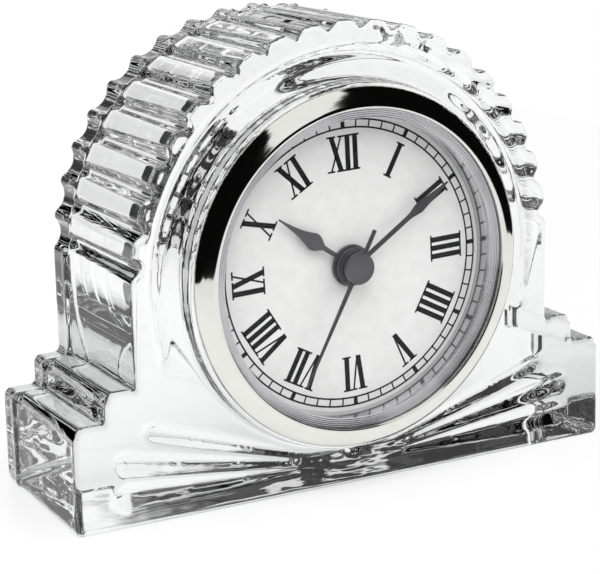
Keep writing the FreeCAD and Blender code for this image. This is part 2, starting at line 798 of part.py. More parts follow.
def build_glass_case():
    body = new_body("glass_case")
    mould_walls(body)
    pad_disc(body, "raised_boss", "boss_radius", "-boss_height", "(2 * boss_height)",
             ("0", "dial_centre_height"))
    drill(body, "bore", "bore_radius", "(-boss_height - cut_overrun)",
          "(boss_height + glass_depth + 2 * cut_overrun)", ("0", "dial_centre_height"))
    middle = "((groove_inner_radius + groove_outer_radius) / 2)"
    cut_groove_crown(body, middle)
    tongues = [
        add_tongue(body, "lower_tongue", "base_width / 2", "base_height"),
        add_tongue(body, "upper_tongue", SHOULDER_HALF_WIDTH, "shoulder_height"),
    ]
    cuts = cut_groove_leg(body, middle)
    cuts += [cut_leaf(body, f"{level}_leaf") for level in ("upper", "middle", "lower")]
    document.recompute()
    mirror_to_left(body, "left_hand", tongues + cuts)
    cut_heart(body)
    cut_ribs(body)
    return body


# Bezel, lens and insert case

def build_bezel():
    body = new_body("bezel", DIAL_CENTRE)
    seat = "(-boss_height)"
    inner = "(case_radius + trim_clearance)"
    turn_profile(body, "bezel_section", [
        (seat, inner),
        (LENS_FRONT_DEPTH, inner),
        (LENS_FRONT_DEPTH, "bezel_opening_radius"),
        (f"({seat} - bezel_crown_height)", "bezel_opening_radius"),
        (f"({seat} - bezel_shoulder_height)", "bezel_shoulder_radius"),
        (seat, "bezel_radius"),
    ])
    return body


def build_lens():
    body = new_body("lens", DIAL_CENTRE)
    pad_disc(body, "lens_disc", "case_radius", LENS_FRONT_DEPTH, "lens_thickness")
    return body


def build_insert_case():
    body = new_body("insert_case", DIAL_CENTRE)
    turn_profile(body, "case_section", [
        ("lens_seat_depth", CASE_BORE),
        ("lens_seat_depth", "case_radius"),
        (CASE_BACK_DEPTH, "case_radius"),
        (CASE_BACK_DEPTH, "0"),
        ("case_floor_depth", "0"),
        ("case_floor_depth", CASE_BORE),
    ])
    pillar = pad_outline(body, "plate_pillar", square("pillar_width", ("pillar_reach", "0")),
                         PLATE_BACK_DEPTH, f"(case_floor_depth - {PLATE_BACK_DEPTH})",
                         turn="pillar_bearing")
    ring_of(body, "plate_pillars", pillar, y_axis(body), "4")
    post_up(body, "well_wall", f"(2 * {WELL_HALF_WIDTH})", WELL_FRONT_DEPTH, BATTERY_PLACE)
    for index, place in enumerate(board_post_places()):
        post_up(body, f"board_post_{index}", "board_post_width", BOARD_BACK_DEPTH, place)
    for index, side in enumerate((-1, 1)):
        place = (f"({ROTOR_PLACE[0]} + {side} * (stator_length / 2 - stator_post_inset))",
                 f"({ROTOR_PLACE[1]} + stator_post_rise)")
        post_up(body, f"stator_post_{index}", "stator_post_width", STATOR_BACK_DEPTH, place)
    for index, place in enumerate(bridge_screw_places()):
        post_up(body, f"bridge_post_{index}", "bridge_post_width", BRIDGE_BACK_DEPTH, place)
        drill(body, f"bridge_screw_hole_{index}", "screw_radius", BRIDGE_BACK_DEPTH,
              f"(case_floor_depth - {BRIDGE_BACK_DEPTH})", place)
    cut_battery_well(body)
    drill(body, "knob_hole", "(knob_stem_radius + running_clearance)",
          "(case_floor_depth - cut_overrun)", "(case_floor_thickness + 2 * cut_overrun)", KNOB_PLACE)
    return body


def post_up(body, name, width, front, place):
    """Square post that stands on the floor of the case."""
    pad_outline(body, name, square(width, place), front, f"(case_floor_depth - {front})")


def cut_battery_well(body):
    """Round well for the battery, with the seat, the groove and the entries of its hatch."""
    ledge_depth = f"({HATCH_FRONT_DEPTH} - battery_front_depth + contact_thickness)"
    drill(body, "well_bore", "well_radius", "(battery_front_depth - contact_thickness)",
          f"({ledge_depth} + cut_overrun)", BATTERY_PLACE)
    drill(body, "hatch_seat", "(hatch_radius + hatch_clearance)", HATCH_FRONT_DEPTH,
          "(hatch_thickness + cut_overrun)", BATTERY_PLACE)
    lug_room_front = "(hatch_lug_depth - hatch_clearance)"
    lug_room_back = "(hatch_lug_depth + hatch_lug_thickness + hatch_clearance)"
    drill(body, "lug_groove", "(hatch_lug_radius + hatch_clearance)", lug_room_front,
          f"({lug_room_back} - {lug_room_front})", BATTERY_PLACE)
    entry = lug_sector("(hatch_lug_radius + hatch_clearance)",
                       "(hatch_lug_angle + hatch_entry_clearance_angle)")
    for index in range(number_of_lugs()):
        cut_outline(body, f"lug_entry_{index}", entry, lug_room_front,
                    f"({HATCH_FRONT_DEPTH} - {lug_room_front} + cut_overrun)", centre=BATTERY_PLACE,
                    turn=f"(hatch_entry_turn + {index} * 360 / hatch_lug_count)")
    slot_front = "(battery_front_depth - contact_thickness)"
    half = "(contact_width / 2 + contact_slot_clearance)"
    left = f"(battery_across - {WELL_HALF_WIDTH} - cut_overrun)"
    cut_outline(body, "negative_contact_slot",
                rectangle(left, "battery_across", f"(battery_rise - {half})", f"(battery_rise + {half})"),
                slot_front, "(contact_thickness + contact_slot_clearance)")
    cut_outline(body, "positive_contact_slot",
                rectangle(left, "battery_across", f"(battery_rise - {half})", f"(battery_rise + {half})"),
                f"({POSITIVE_FRONT_DEPTH} - contact_slot_clearance)",
                f"({POSITIVE_LENGTH} + 2 * contact_slot_clearance)")


def number_of_lugs():
    """Whole number of lugs on the hatch."""
    return int(SIZES["hatch_lug_count"])


def lug_sector(radius, angle):
    """Wedge from the middle out to a radius, closed by an arc."""
    half = f"({angle} / 2 * 1deg)"
    return [
        ("0", "0"),
        (f"({radius} * cos({half}))", f"(-{radius} * sin({half}))"),
        (f"({radius} * cos({half}))", f"({radius} * sin({half}))", radius, 1),
    ]


def bridge_screw_places():
    """Places of the bridge's screws, evenly round its rim."""
    places = []
    for index in range(int(SIZES["bridge_screw_count"])):
        bearing = f"(bridge_screw_bearing + {index} * 360 / bridge_screw_count)"
        places.append((
            f"({BRIDGE_PLACE[0]} + {across('bridge_screw_reach', bearing)})",
            f"({BRIDGE_PLACE[1]} + {rise('bridge_screw_reach', bearing)})",
        ))
    return places


def board_post_places():
    """Places of the posts under two opposite corners of the circuit board."""
    reach_across = "(board_width / 2 - board_post_inset)"
    reach_up = "(board_height / 2 - board_post_inset)"
    return [
        (f"(board_across + {reach_across})", f"(board_rise + {reach_up})"),
        (f"(board_across - {reach_across})", f"(board_rise - {reach_up})"),
        (f"(board_across + {reach_across})", f"(board_rise - {reach_up})"),
    ]


def build_grip_ring():
    body = new_body("grip_ring", DIAL_CENTRE)
    back = "(grip_front_depth + grip_length)"
    turn_profile(body, "grip_section", rectangle("grip_front_depth", back, "case_radius", GRIP_RADIUS))
    return body


def build_chapter_ring():
    body = new_body("chapter_ring", DIAL_CENTRE)
    turn_profile(body, "chapter_section", rectangle("lens_seat_depth", "dial_face_depth",
                                                    "chapter_ring_bore_radius", "dial_radius"))
    return body


def build_dial():
    body = new_body("dial", DIAL_CENTRE)
    pad_disc(body, "dial_disc", "dial_radius", "dial_face_depth", "dial_thickness")
    drill(body, "dial_hole", "(hour_pipe_radius + running_clearance)", "dial_face_depth", "dial_thickness")
    return body


# Plates

ARBOR_HOLE = "(arbor_radius + running_clearance)"


def build_front_plate():
    body = new_body("front_plate", DIAL_CENTRE)
    pad_outline(body, "front_plate_sheet", polygon("plate_radius", 8), DIAL_BACK_DEPTH,
                "plate_thickness", turn="pillar_bearing")
    stud_end = "(minute_level_depth + wheel_thickness + axial_clearance)"
    pad_disc(body, "minute_stud", "arbor_radius", PLATE_BACK_DEPTH,
             f"({stud_end} - {PLATE_BACK_DEPTH})", MINUTE_PLACE)
    drill(body, "hour_pipe_hole", "(hour_pipe_radius + running_clearance)", DIAL_BACK_DEPTH,
          "plate_thickness")
    for name, place in (("third", THIRD_PLACE), ("intermediate", INTERMEDIATE_PLACE),
                        ("rotor", ROTOR_PLACE)):
        drill(body, f"{name}_arbor_hole", ARBOR_HOLE, DIAL_BACK_DEPTH, "plate_thickness", place)
    return body


def build_train_bridge():
    body = new_body("train_bridge", DIAL_CENTRE)
    pad_outline(body, "bridge_sheet", polygon("bridge_radius", 6), "bridge_depth",
                "bridge_thickness", centre=BRIDGE_PLACE, turn="bridge_screw_bearing")
    for name, place in (("third", THIRD_PLACE), ("intermediate", INTERMEDIATE_PLACE),
                        ("rotor", ROTOR_PLACE), ("seconds", DIAL_CENTRE)):
        drill(body, f"{name}_arbor_hole", ARBOR_HOLE, "bridge_depth", "bridge_thickness", place)
    for index, place in enumerate(bridge_screw_places()):
        drill(body, f"screw_hole_{index}", "screw_radius", "bridge_depth", "bridge_thickness", place)
    return body


def build_bridge_screws():
    """The like screws of the train bridge, each a six sided head on a shank."""
    screws = []
    for index, place in enumerate(bridge_screw_places()):
        head = document.addObject("Part::Prism", f"screw_head_{index}")
        head.Polygon = 6
        head.setExpression("Circumradius", bound("screw_head_radius"))
        head.setExpression("Height", bound("screw_head_height"))
        set_backward(head, "(bridge_depth - screw_head_height)", place)
        shank = document.addObject("Part::Cylinder", f"screw_shank_{index}")
        shank.setExpression("Radius", bound("screw_radius"))
        shank.setExpression("Height", bound("case_floor_depth - bridge_depth"))
        set_backward(shank, "bridge_depth", place)
        screw = document.addObject("Part::Fuse", f"bridge_screw_{index}")
        screw.Base = head
        screw.Tool = shank
        screws.append(screw)
    group = document.addObject("Part::Compound", "bridge_screws")
    group.Links = screws
    return group


def set_backward(piece, depth, place):
    """Stand a primitive on a place of the insert, pointing backward from a depth."""
    piece.Placement = FreeCAD.Placement(FreeCAD.Vector(), FreeCAD.Rotation(FreeCAD.Vector(1, 0, 0), -90))
    piece.setExpression("Placement.Base.x", bound(place[0]))
    piece.setExpression("Placement.Base.y", bound(f"{GLASS_FRONT} + {depth}"))
    piece.setExpression("Placement.Base.z", bound(f"dial_centre_height + {place[1]}"))


# Wheel train

def build_seconds_wheel():
    body = new_body("seconds_wheel", DIAL_CENTRE)
    pad_disc(body, "seconds_arbor", "arbor_radius", "second_hand_depth",
             f"({BRIDGE_BACK_DEPTH} - axial_clearance - second_hand_depth)")
    add_teeth(body, "seconds_pinion", "seconds_pinion_teeth", THIRD_MODULE, "third_level_depth",
              "(seconds_level_depth - third_level_depth)", "third_arbor_bearing")
    add_teeth(body, "seconds_rim", "seconds_wheel_teeth", SECONDS_MODULE, "seconds_level_depth",
              "wheel_thickness", "intermediate_arbor_bearing")
    return body


def build_third_wheel():
    body = new_body("third_wheel", THIRD_PLACE)
    add_arbor(body, "third_arbor")
    add_teeth(body, "third_pinion", "third_pinion_teeth", CENTRE_MODULE, "centre_level_depth",
              "(third_level_depth - centre_level_depth)", "(third_arbor_bearing + 180)")
    add_teeth(body, "third_rim", "third_wheel_teeth", THIRD_MODULE, "third_level_depth",
              "wheel_thickness",
              meshed_turn("third_arbor_bearing", "seconds_pinion_teeth", "third_arbor_bearing",
                          "third_wheel_teeth"))
    return body


def build_centre_wheel():
    body = new_body("centre_wheel", DIAL_CENTRE)
    toward_centre = "(third_arbor_bearing + 180)"
    add_teeth(body, "centre_rim", "centre_wheel_teeth", CENTRE_MODULE, "centre_level_depth",
              "wheel_thickness",
              meshed_turn(toward_centre, "third_pinion_teeth", toward_centre, "centre_wheel_teeth"))
    drill(body, "centre_bore", ARBOR_HOLE, "centre_level_depth", "wheel_thickness")
    return body


def build_intermediate_wheel():
    body = new_body("intermediate_wheel", INTERMEDIATE_PLACE)
    add_arbor(body, "intermediate_arbor")
    add_teeth(body, "intermediate_pinion", "intermediate_pinion_teeth", SECONDS_MODULE,
              "seconds_level_depth", "(intermediate_level_depth - seconds_level_depth)",
              meshed_turn("intermediate_arbor_bearing", "seconds_wheel_teeth",
                          "intermediate_arbor_bearing", "intermediate_pinion_teeth"))
    add_teeth(body, "intermediate_rim", "intermediate_wheel_teeth", ROTOR_MODULE,
              "intermediate_level_depth", "wheel_thickness", "rotor_arbor_bearing")
    return body


def build_rotor():
    body = new_body("rotor", ROTOR_PLACE)
    add_arbor(body, "rotor_arbor")
    pad_disc(body, "magnet", "magnet_radius", "magnet_depth", "magnet_thickness")
    add_teeth(body, "rotor_pinion", "rotor_pinion_teeth", ROTOR_MODULE, "intermediate_level_depth",
              "(magnet_depth - intermediate_level_depth)",
              meshed_turn("rotor_arbor_bearing", "intermediate_wheel_teeth", "rotor_arbor_bearing",
                          "rotor_pinion_teeth"))
    return body


# Motion work

CANNON_BACK_DEPTH = "(minute_level_depth + wheel_thickness + axial_clearance)"


def build_cannon_pinion():
    body = new_body("cannon_pinion", DIAL_CENTRE)
    pad_disc(body, "cannon_pipe", "cannon_radius", "minute_hand_depth",
             f"({CANNON_BACK_DEPTH} - minute_hand_depth)")
    add_teeth(body, "cannon_rim", "cannon_teeth", MOTION_MODULE, "minute_level_depth",
              "wheel_thickness", "minute_arbor_bearing")
    drill(body, "cannon_bore", ARBOR_HOLE, "minute_hand_depth",
          f"({CANNON_BACK_DEPTH} - minute_hand_depth)")
    return body


def build_hour_wheel():
    body = new_body("hour_wheel", DIAL_CENTRE)
    back = "(hour_level_depth + wheel_thickness)"
    pad_disc(body, "hour_pipe", "hour_pipe_radius", "hour_hand_depth", f"({back} - hour_hand_depth)")
    toward_centre = "(minute_arbor_bearing + 180)"
    add_teeth(body, "hour_rim", "hour_wheel_teeth", HOUR_MODULE, "hour_level_depth",
              "wheel_thickness",
              meshed_turn(toward_centre, "minute_pinion_teeth", toward_centre, "hour_wheel_teeth"))
    drill(body, "hour_pipe_bore", "hour_pipe_bore_radius", "hour_hand_depth",
          f"({back} - hour_hand_depth)")
    return body


MINUTE_WHEEL_TURN = meshed_turn("minute_arbor_bearing", "cannon_teeth", "minute_arbor_bearing",
                                "minute_wheel_teeth")


def build_minute_wheel():
    body = new_body("minute_wheel", MINUTE_PLACE)
    add_teeth(body, "minute_pinion", "minute_pinion_teeth", HOUR_MODULE, "hour_level_depth",
              "(minute_level_depth - hour_level_depth)", "(minute_arbor_bearing + 180)")
    add_teeth(body, "minute_rim", "minute_wheel_teeth", MOTION_MODULE, "minute_level_depth",
              "wheel_thickness", MINUTE_WHEEL_TURN)
    drill(body, "minute_wheel_bore", ARBOR_HOLE, "hour_level_depth",
          "(minute_level_depth + wheel_thickness - hour_level_depth)")
    return body


def build_set_knob():
    body = new_body("set_knob", KNOB_PLACE)
    stem_front = "(minute_level_depth + wheel_thickness)"
    pad_disc(body, "knob_stem", "knob_stem_radius", stem_front, f"({KNOB_FRONT_DEPTH} - {stem_front})")
    pad_disc(body, "knob_disc", "knob_radius", KNOB_FRONT_DEPTH, "knob_height")
    flute = cut_outline(body, "knob_flute", [
        ("(knob_radius - knob_flute_depth)", "0"),
        ("knob_radius", "(-knob_flute_half_width)"),
        ("(knob_radius + cut_overrun)", "0"),
        ("knob_radius", "knob_flute_half_width"),
    ], KNOB_FRONT_DEPTH, "knob_height")
    document.recompute()
    ring_of(body, "knob_flutes", flute, y_axis(body), "knob_flute_count")
    add_teeth(body, "knob_pinion", "knob_pinion_teeth", SETTING_MODULE, "minute_level_depth",
              "wheel_thickness",
              meshed_turn(MINUTE_WHEEL_TURN, "minute_wheel_teeth", "knob_arbor_bearing",
                          "knob_pinion_teeth"))
    return body


# Hands

def hand_turn(clock_angle):
    """Turn of a hand drawn along +X that shows a clock angle."""
    return f"(90 - {clock_angle})"


def build_hour_hand():
    body = new_body("hour_hand", DIAL_CENTRE)
    pad_disc(body, "hour_eye", "minute_hub_radius", "hour_hand_depth", "hand_thickness")
    reach = "hour_hand_reach"
    belly = "hour_hand_belly"
    widest = "hour_hand_belly_half_width"
    pad_outline(body, "hour_blade", both_edges([
        ("0", "hour_hand_neck_half_width"),
        (f"({belly} * hour_neck_share)", "hour_hand_neck_half_width"),
        (f"({belly} * hour_swell_share)", f"({widest} * hour_swell_width_share)"),
        (belly, widest),
        (f"({belly} + ({reach} - {belly}) * hour_taper_share)", f"({widest} * hour_taper_width_share)"),
        (f"({belly} + ({reach} - {belly}) * hour_point_share)", f"({widest} * hour_point_width_share)"),
        (reach, "hand_tip_half_width"),
    ]), "hour_hand_depth", "hand_thickness", turn=hand_turn("hour_hand_angle"))
    drill(body, "hour_eye_hole", "hour_pipe_radius", "hour_hand_depth", "hand_thickness")
    return body


def build_minute_hand():
    body = new_body("minute_hand", DIAL_CENTRE)
    pad_disc(body, "minute_eye", "second_cap_radius", "minute_hand_depth", "hand_thickness")
    reach = "minute_hand_reach"
    belly = "minute_hand_belly"
    widest = "minute_hand_belly_half_width"
    pad_outline(body, "minute_blade", both_edges([
        ("0", "minute_hand_neck_half_width"),
        (f"({belly} * minute_neck_share)", "minute_hand_neck_half_width"),
        (f"({belly} * minute_swell_share)", f"({widest} * minute_swell_width_share)"),
        (belly, widest),
        (f"({belly} + ({reach} - {belly}) * minute_taper_share)", f"({widest} * minute_taper_width_share)"),
        (reach, "hand_tip_half_width"),
    ]), "minute_hand_depth", "hand_thickness", turn=hand_turn("minute_hand_angle"))
    drill(body, "minute_eye_hole", "cannon_radius", "minute_hand_depth", "hand_thickness")
    return body


def build_second_hand():
    body = new_body("second_hand", DIAL_CENTRE)
    pad_outline(body, "second_blade", both_edges([
        ("(-second_hand_tail)", "second_hand_tail_half_width"),
        ("0", "second_hand_tail_half_width"),
        ("second_cap_radius", "second_hand_half_width"),
        ("second_hand_reach", "hand_tip_half_width"),
    ]), "(second_hand_depth - hand_thickness)", "hand_thickness", turn=hand_turn("second_hand_angle"))
    return body


def build_hub(label, radius, front, bore):
    """Flat collet that grips a hand's pipe."""
    body = new_body(label, DIAL_CENTRE)
    pad_disc(body, f"{label}_disc", radius, front, "hub_height")
    drill(body, f"{label}_bore", bore, front, "hub_height")
    return body


def build_second_cap():
    body = new_body("second_cap", DIAL_CENTRE)
    back = "(second_hand_depth - hand_thickness)"
    front = f"({back} - second_cap_height)"
    turn_profile(body, "second_cap_section", [
        (front, "0"),
        (back, "0"),
        (back, "second_cap_radius"),
        (f"({front} + cap_bevel)", "second_cap_radius"),
        (front, "(second_cap_radius - cap_bevel)"),
    ])
    return body


# Motor and circuit

ROTOR_ACROSS = ROTOR_PLACE[0]
ROTOR_RISE = ROTOR_PLACE[1]
STATOR_FOOT = "(-stator_margin)"
WINDOW_FOOT = "(magnet_radius + air_gap + stator_bridge_height)"
WINDOW_TOP = f"({WINDOW_FOOT} + stator_window_height)"
CORE_MIDDLE = f"({WINDOW_TOP} + core_height / 2)"


def build_stator():
    body = new_body("stator", ROTOR_PLACE)
    half = "(stator_length / 2)"
    window = "(stator_window_length / 2)"
    pad_outline(body, "stator_sheet",
                rectangle(f"(-{half})", half, STATOR_FOOT, f"({WINDOW_TOP} + core_height)"),
                "stator_depth", "stator_thickness")
    cut_outline(body, "stator_window", rectangle(f"(-{window})", window, WINDOW_FOOT, WINDOW_TOP),
                "stator_depth", "stator_thickness")
    drill(body, "rotor_hole", "(magnet_radius + air_gap)", "stator_depth", "stator_thickness")
    return body


SPOOL_HALF_DEPTH = "(stator_thickness / 2 + bobbin_slot_clearance + bobbin_wall)"
SPOOL_HALF_HEIGHT = "(core_height / 2 + bobbin_slot_clearance + bobbin_wall)"


def new_spool_box(name, half_depth, half_height, start, length):
    """Block along X on the axis of the stator's core, as a primitive."""
    box = document.addObject("Part::Box", name)
    box.setExpression("Length", bound(length))
    box.setExpression("Width", bound(f"2 * {half_depth}"))
    box.setExpression("Height", bound(f"2 * {half_height}"))
    box.setExpression("Placement.Base.x", bound(f"{ROTOR_ACROSS} + {start}"))
    box.setExpression("Placement.Base.y",
                      bound(f"{GLASS_FRONT} + stator_depth + stator_thickness / 2 - {half_depth}"))
    box.setExpression("Placement.Base.z",
                      bound(f"dial_centre_height + {ROTOR_RISE} + {CORE_MIDDLE} - {half_height}"))
    return box


def build_coil_bobbin():
    """Square tube with a flange at each end, round the stator's core."""
    half = "(coil_length / 2)"
    flange = "bobbin_flange_thickness"
    pieces = [
        new_spool_box("bobbin_tube", SPOOL_HALF_DEPTH, SPOOL_HALF_HEIGHT, f"(-{half})", "coil_length"),
        new_spool_box("bobbin_flange_left", "bobbin_radius", "bobbin_radius", f"(-{half} - {flange})",
                      flange),
        new_spool_box("bobbin_flange_right", "bobbin_radius", "bobbin_radius", half, flange),
    ]
    spool = document.addObject("Part::MultiFuse", "bobbin_spool")
    spool.Shapes = pieces
    slot = new_spool_box("bobbin_slot", "(stator_thickness / 2 + bobbin_slot_clearance)",
                         "(core_height / 2 + bobbin_slot_clearance)",
                         f"(-{half} - {flange} - cut_overrun)",
                         f"(coil_length + 2 * {flange} + 2 * cut_overrun)")
    bobbin = document.addObject("Part::Cut", "coil_bobbin")
    bobbin.Base = spool
    bobbin.Tool = slot
    return bobbin


def build_coil_winding():
    """Copper on the bobbin, with the eight flats that thin wire takes on a square tube."""
    start = "(-coil_length / 2)"
    outer = document.addObject("Part::Prism", "winding_outer")
    outer.Placement = FreeCAD.Placement(FreeCAD.Vector(), FreeCAD.Rotation(FreeCAD.Vector(0, 1, 0), 90))
    outer.Polygon = 8
    outer.setExpression("Circumradius", bound("coil_radius"))
    outer.setExpression("Height", bound("coil_length"))
    outer.setExpression("Placement.Base.x", bound(f"{ROTOR_ACROSS} + {start}"))
    outer.setExpression("Placement.Base.y", bound(f"{GLASS_FRONT} + stator_depth + stator_thickness / 2"))
    outer.setExpression("Placement.Base.z",
                        bound(f"dial_centre_height + {ROTOR_RISE} + {CORE_MIDDLE}"))
    inner = new_spool_box("winding_bore", SPOOL_HALF_DEPTH, SPOOL_HALF_HEIGHT, start, "coil_length")
    winding = document.addObject("Part::Cut", "coil_winding")
    winding.Base = outer
    winding.Tool = inner
    return winding


def build_circuit_board():
    body = new_body("circuit_board", DIAL_CENTRE)
    half_width = "(board_width / 2)"
    half_height = "(board_height / 2)"
    pad_outline(body, "board_sheet",
                rectangle(f"(board_across - {half_width})", f"(board_across + {half_width})",
                          f"(board_rise - {half_height})", f"(board_rise + {half_height})"),
                "board_depth", "board_thickness")
    return body


def build_quartz_can():
    can = document.addObject("Part::Cylinder", "quartz_can")
    can.setExpression("Radius", bound("crystal_radius"))
    can.setExpression("Height", bound("crystal_length"))
    can.setExpression("Placement.Base.x", bound("board_across + crystal_across"))
    can.setExpression("Placement.Base.y", bound(f"{GLASS_FRONT} + board_depth - crystal_radius"))
    can.setExpression("Placement.Base.z", bound("dial_centre_height + board_rise"))
    return can


def build_chip_cover():
    body = new_body("chip_cover", DIAL_CENTRE)
    pad_outline(body, "chip_block", polygon("chip_radius", 8), "(board_depth - chip_height)",
                "chip_height", centre=("board_across", "(board_rise - chip_rise)"))
    return body


# Battery and its contacts

def build_battery():
    body = new_body("battery", BATTERY_PLACE)
    pad_disc(body, "battery_disc", "battery_radius", "battery_front_depth", "battery_thickness")
    return body


CONTACT_TURN_ACROSS = "(board_across + contact_width)"
BOARD_FOOT = "(board_rise - board_height / 2)"


def build_contact_negative():
    """Strip from under the battery, out of the well and up to the board's front face."""
    body = new_body("contact_negative", DIAL_CENTRE)
    front = "(battery_front_depth - contact_thickness)"
    half = "(contact_width / 2)"
    outer = f"({CONTACT_TURN_ACROSS} - {half})"
    pad_outline(body, "negative_strip", [
        ("battery_across", f"(battery_rise - {half})"),
        ("battery_across", f"(battery_rise + {half})"),
        (f"({CONTACT_TURN_ACROSS} + {half})", f"(battery_rise + {half})"),
        (f"({CONTACT_TURN_ACROSS} + {half})", f"({BOARD_FOOT} + contact_width)"),
        (outer, f"({BOARD_FOOT} + contact_width)"),
        (outer, f"(battery_rise - {half})"),
    ], front, "contact_thickness")
    pad_outline(body, "negative_foot",
                rectangle(outer, f"({CONTACT_TURN_ACROSS} + {half})",
                          f"({BOARD_FOOT} + contact_width - contact_thickness)",
                          f"({BOARD_FOOT} + contact_width)"),
                front, f"(board_depth - {front})")
    return body


def build_contact_positive():
    """Strip that touches the battery's side and runs to the board's rear face."""
    body = new_body("contact_positive", DIAL_CENTRE)
    half = "(contact_width / 2)"
    side = "(battery_across - battery_radius)"
    pad_outline(body, "positive_leaf",
                rectangle(f"({side} - contact_thickness)", side, f"(battery_rise - {half})",
                          f"(battery_rise + {half})"),
                POSITIVE_FRONT_DEPTH, POSITIVE_LENGTH)
    post_edge = "(board_across + board_width / 2 - board_post_inset - board_post_width / 2)"
    outer = f"({post_edge} - contact_slot_clearance - contact_width)"
    pad_outline(body, "positive_strip", [
        (f"({side} - contact_thickness)", f"(battery_rise - {half})"),
        (f"({side} - contact_thickness)", f"(battery_rise + {half})"),
        (f"({outer} + contact_width)", f"(battery_rise + {half})"),
        (f"({outer} + contact_width)", f"({BOARD_FOOT} + contact_width)"),
        (outer, f"({BOARD_FOOT} + contact_width)"),
        (outer, f"(battery_rise - {half})"),
    ], BOARD_BACK_DEPTH, "contact_thickness")
    return body


def build_battery_hatch():
    """Round cover that a coin turns until its lugs line up with their entries."""
    body = new_body("battery_hatch", BATTERY_PLACE)
    plug_front = f"({BATTERY_BACK_DEPTH} + plug_clearance)"
    pad_disc(body, "hatch_disc", "hatch_radius", HATCH_FRONT_DEPTH, "hatch_thickness")
    pad_disc(body, "hatch_plug", "hatch_plug_radius", plug_front,
             f"({HATCH_FRONT_DEPTH} - {plug_front})")
    sector = lug_sector("hatch_lug_radius", "hatch_lug_angle")
    for index in range(number_of_lugs()):
        pad_outline(body, f"hatch_lug_{index}", sector, "hatch_lug_depth", "hatch_lug_thickness",
                    turn=f"({index} * 360 / hatch_lug_count)")
    half_width = "(coin_slot_width / 2)"
    half_length = "(coin_slot_length / 2)"
    cut_outline(body, "coin_slot",
                rectangle(f"(-{half_length})", half_length, f"(-{half_width})", half_width),
                f"({CASE_BACK_DEPTH} - coin_slot_depth)", "(coin_slot_depth + cut_overrun)")
    return body


BUILDERS = (
    build_glass_case,
    build_bezel,
    build_lens,
    build_insert_case,
    build_grip_ring,
    build_chapter_ring,
    build_dial,
    build_front_plate,
    build_train_bridge,
    build_bridge_screws,
    build_seconds_wheel,
    build_third_wheel,
    build_centre_wheel,
    build_intermediate_wheel,
    build_rotor,
    build_cannon_pinion,
    build_hour_wheel,
    build_minute_wheel,
    build_set_knob,
    build_hour_hand,
    build_minute_hand,
    build_second_hand,
    build_second_cap,
    build_stator,
    build_coil_bobbin,
    build_coil_winding,
    build_circuit_board,
    build_quartz_can,
    build_chip_cover,
    build_battery,
    build_contact_negative,
    build_contact_positive,
    build_battery_hatch,
)


def build_all():
    pieces = [builder() for builder in BUILDERS]
    pieces.append(build_hub("hour_hub", "hour_hub_radius", "(hour_hand_depth + hand_thickness)",
                            "hour_pipe_radius"))
    pieces.append(build_hub("minute_hub", "minute_hub_radius", "(minute_hand_depth + hand_thickness)",
                            "cannon_radius"))
    return pieces


def check_document(pieces):
    """Stop when any object failed or any piece is empty or broken."""
    for item in document.Objects:
        if "Invalid" in item.State or "Error" in item.State:
            raise RuntimeError(f"{item.Label} did not build: {item.State}")
    for piece in pieces:
        if piece.Shape.isNull() or not piece.Shape.isValid():
            raise RuntimeError(f"{piece.Label} has no valid shape")


pieces = build_all()
document.removeObject(scratch.Name)
document.recompute()
check_document(pieces)
os.makedirs("parts", exist_ok=True)
for piece in pieces:
    piece.Shape.exportStep(f"parts/{piece.Label}.step")
print(f"{len(pieces)} pieces written")
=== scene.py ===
import json
import math

import bmesh
import bpy
from mathutils import Matrix, Vector


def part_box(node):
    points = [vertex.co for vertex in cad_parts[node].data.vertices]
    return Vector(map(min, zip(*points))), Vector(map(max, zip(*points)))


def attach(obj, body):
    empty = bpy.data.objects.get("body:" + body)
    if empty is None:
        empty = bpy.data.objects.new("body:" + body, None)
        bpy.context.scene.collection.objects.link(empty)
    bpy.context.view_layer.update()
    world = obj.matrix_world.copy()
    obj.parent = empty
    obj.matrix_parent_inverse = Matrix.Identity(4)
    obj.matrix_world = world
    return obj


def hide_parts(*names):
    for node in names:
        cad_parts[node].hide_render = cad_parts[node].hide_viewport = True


# Pressed glass shelf clock with a chrome-rimmed quartz insert, on a white table.
# Frame: +X to the viewer's right, the dial faces -Y, +Z up. Lengths below are millimetres and
# angles are degrees, unless a comment says otherwise. A depth is measured backward from the
# glass front, and a clock angle clockwise from twelve, seen from the front.

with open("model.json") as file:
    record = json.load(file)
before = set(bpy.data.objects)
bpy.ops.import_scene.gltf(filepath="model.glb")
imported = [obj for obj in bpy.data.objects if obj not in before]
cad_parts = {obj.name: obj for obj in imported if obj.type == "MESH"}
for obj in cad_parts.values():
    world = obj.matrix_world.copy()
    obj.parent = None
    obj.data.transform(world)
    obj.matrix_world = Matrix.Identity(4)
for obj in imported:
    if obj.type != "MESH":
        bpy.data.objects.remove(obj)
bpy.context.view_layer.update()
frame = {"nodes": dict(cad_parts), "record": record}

MM = 0.001
GLASS_FRONT = -19.1
DIAL_CENTRE_HEIGHT = 42.86

# Meshes. A rounded corner takes at most one part in CORNER_PARTS of the edges beside it.
SHARP_ANGLE = 32
LATHE_STEPS = 192
CORNER_PARTS = 2.2
CORNER_STEPS = 5

# Finishes. Colour mottles are MOTTLE_SIZE times as coarse as the grain. Depths are in metres.
GRAIN_DETAIL = 3.0
GRAIN_DEPTH = 0.0001
MOTTLE_SIZE = 6
TINT_PLACES = (0.3, 0.7)
WAVE_DETAIL = 2.5
WAVE_DEPTH = 0.0006
BRUSHED = (1, 8, 1)
WOUND = (20, 1, 1)

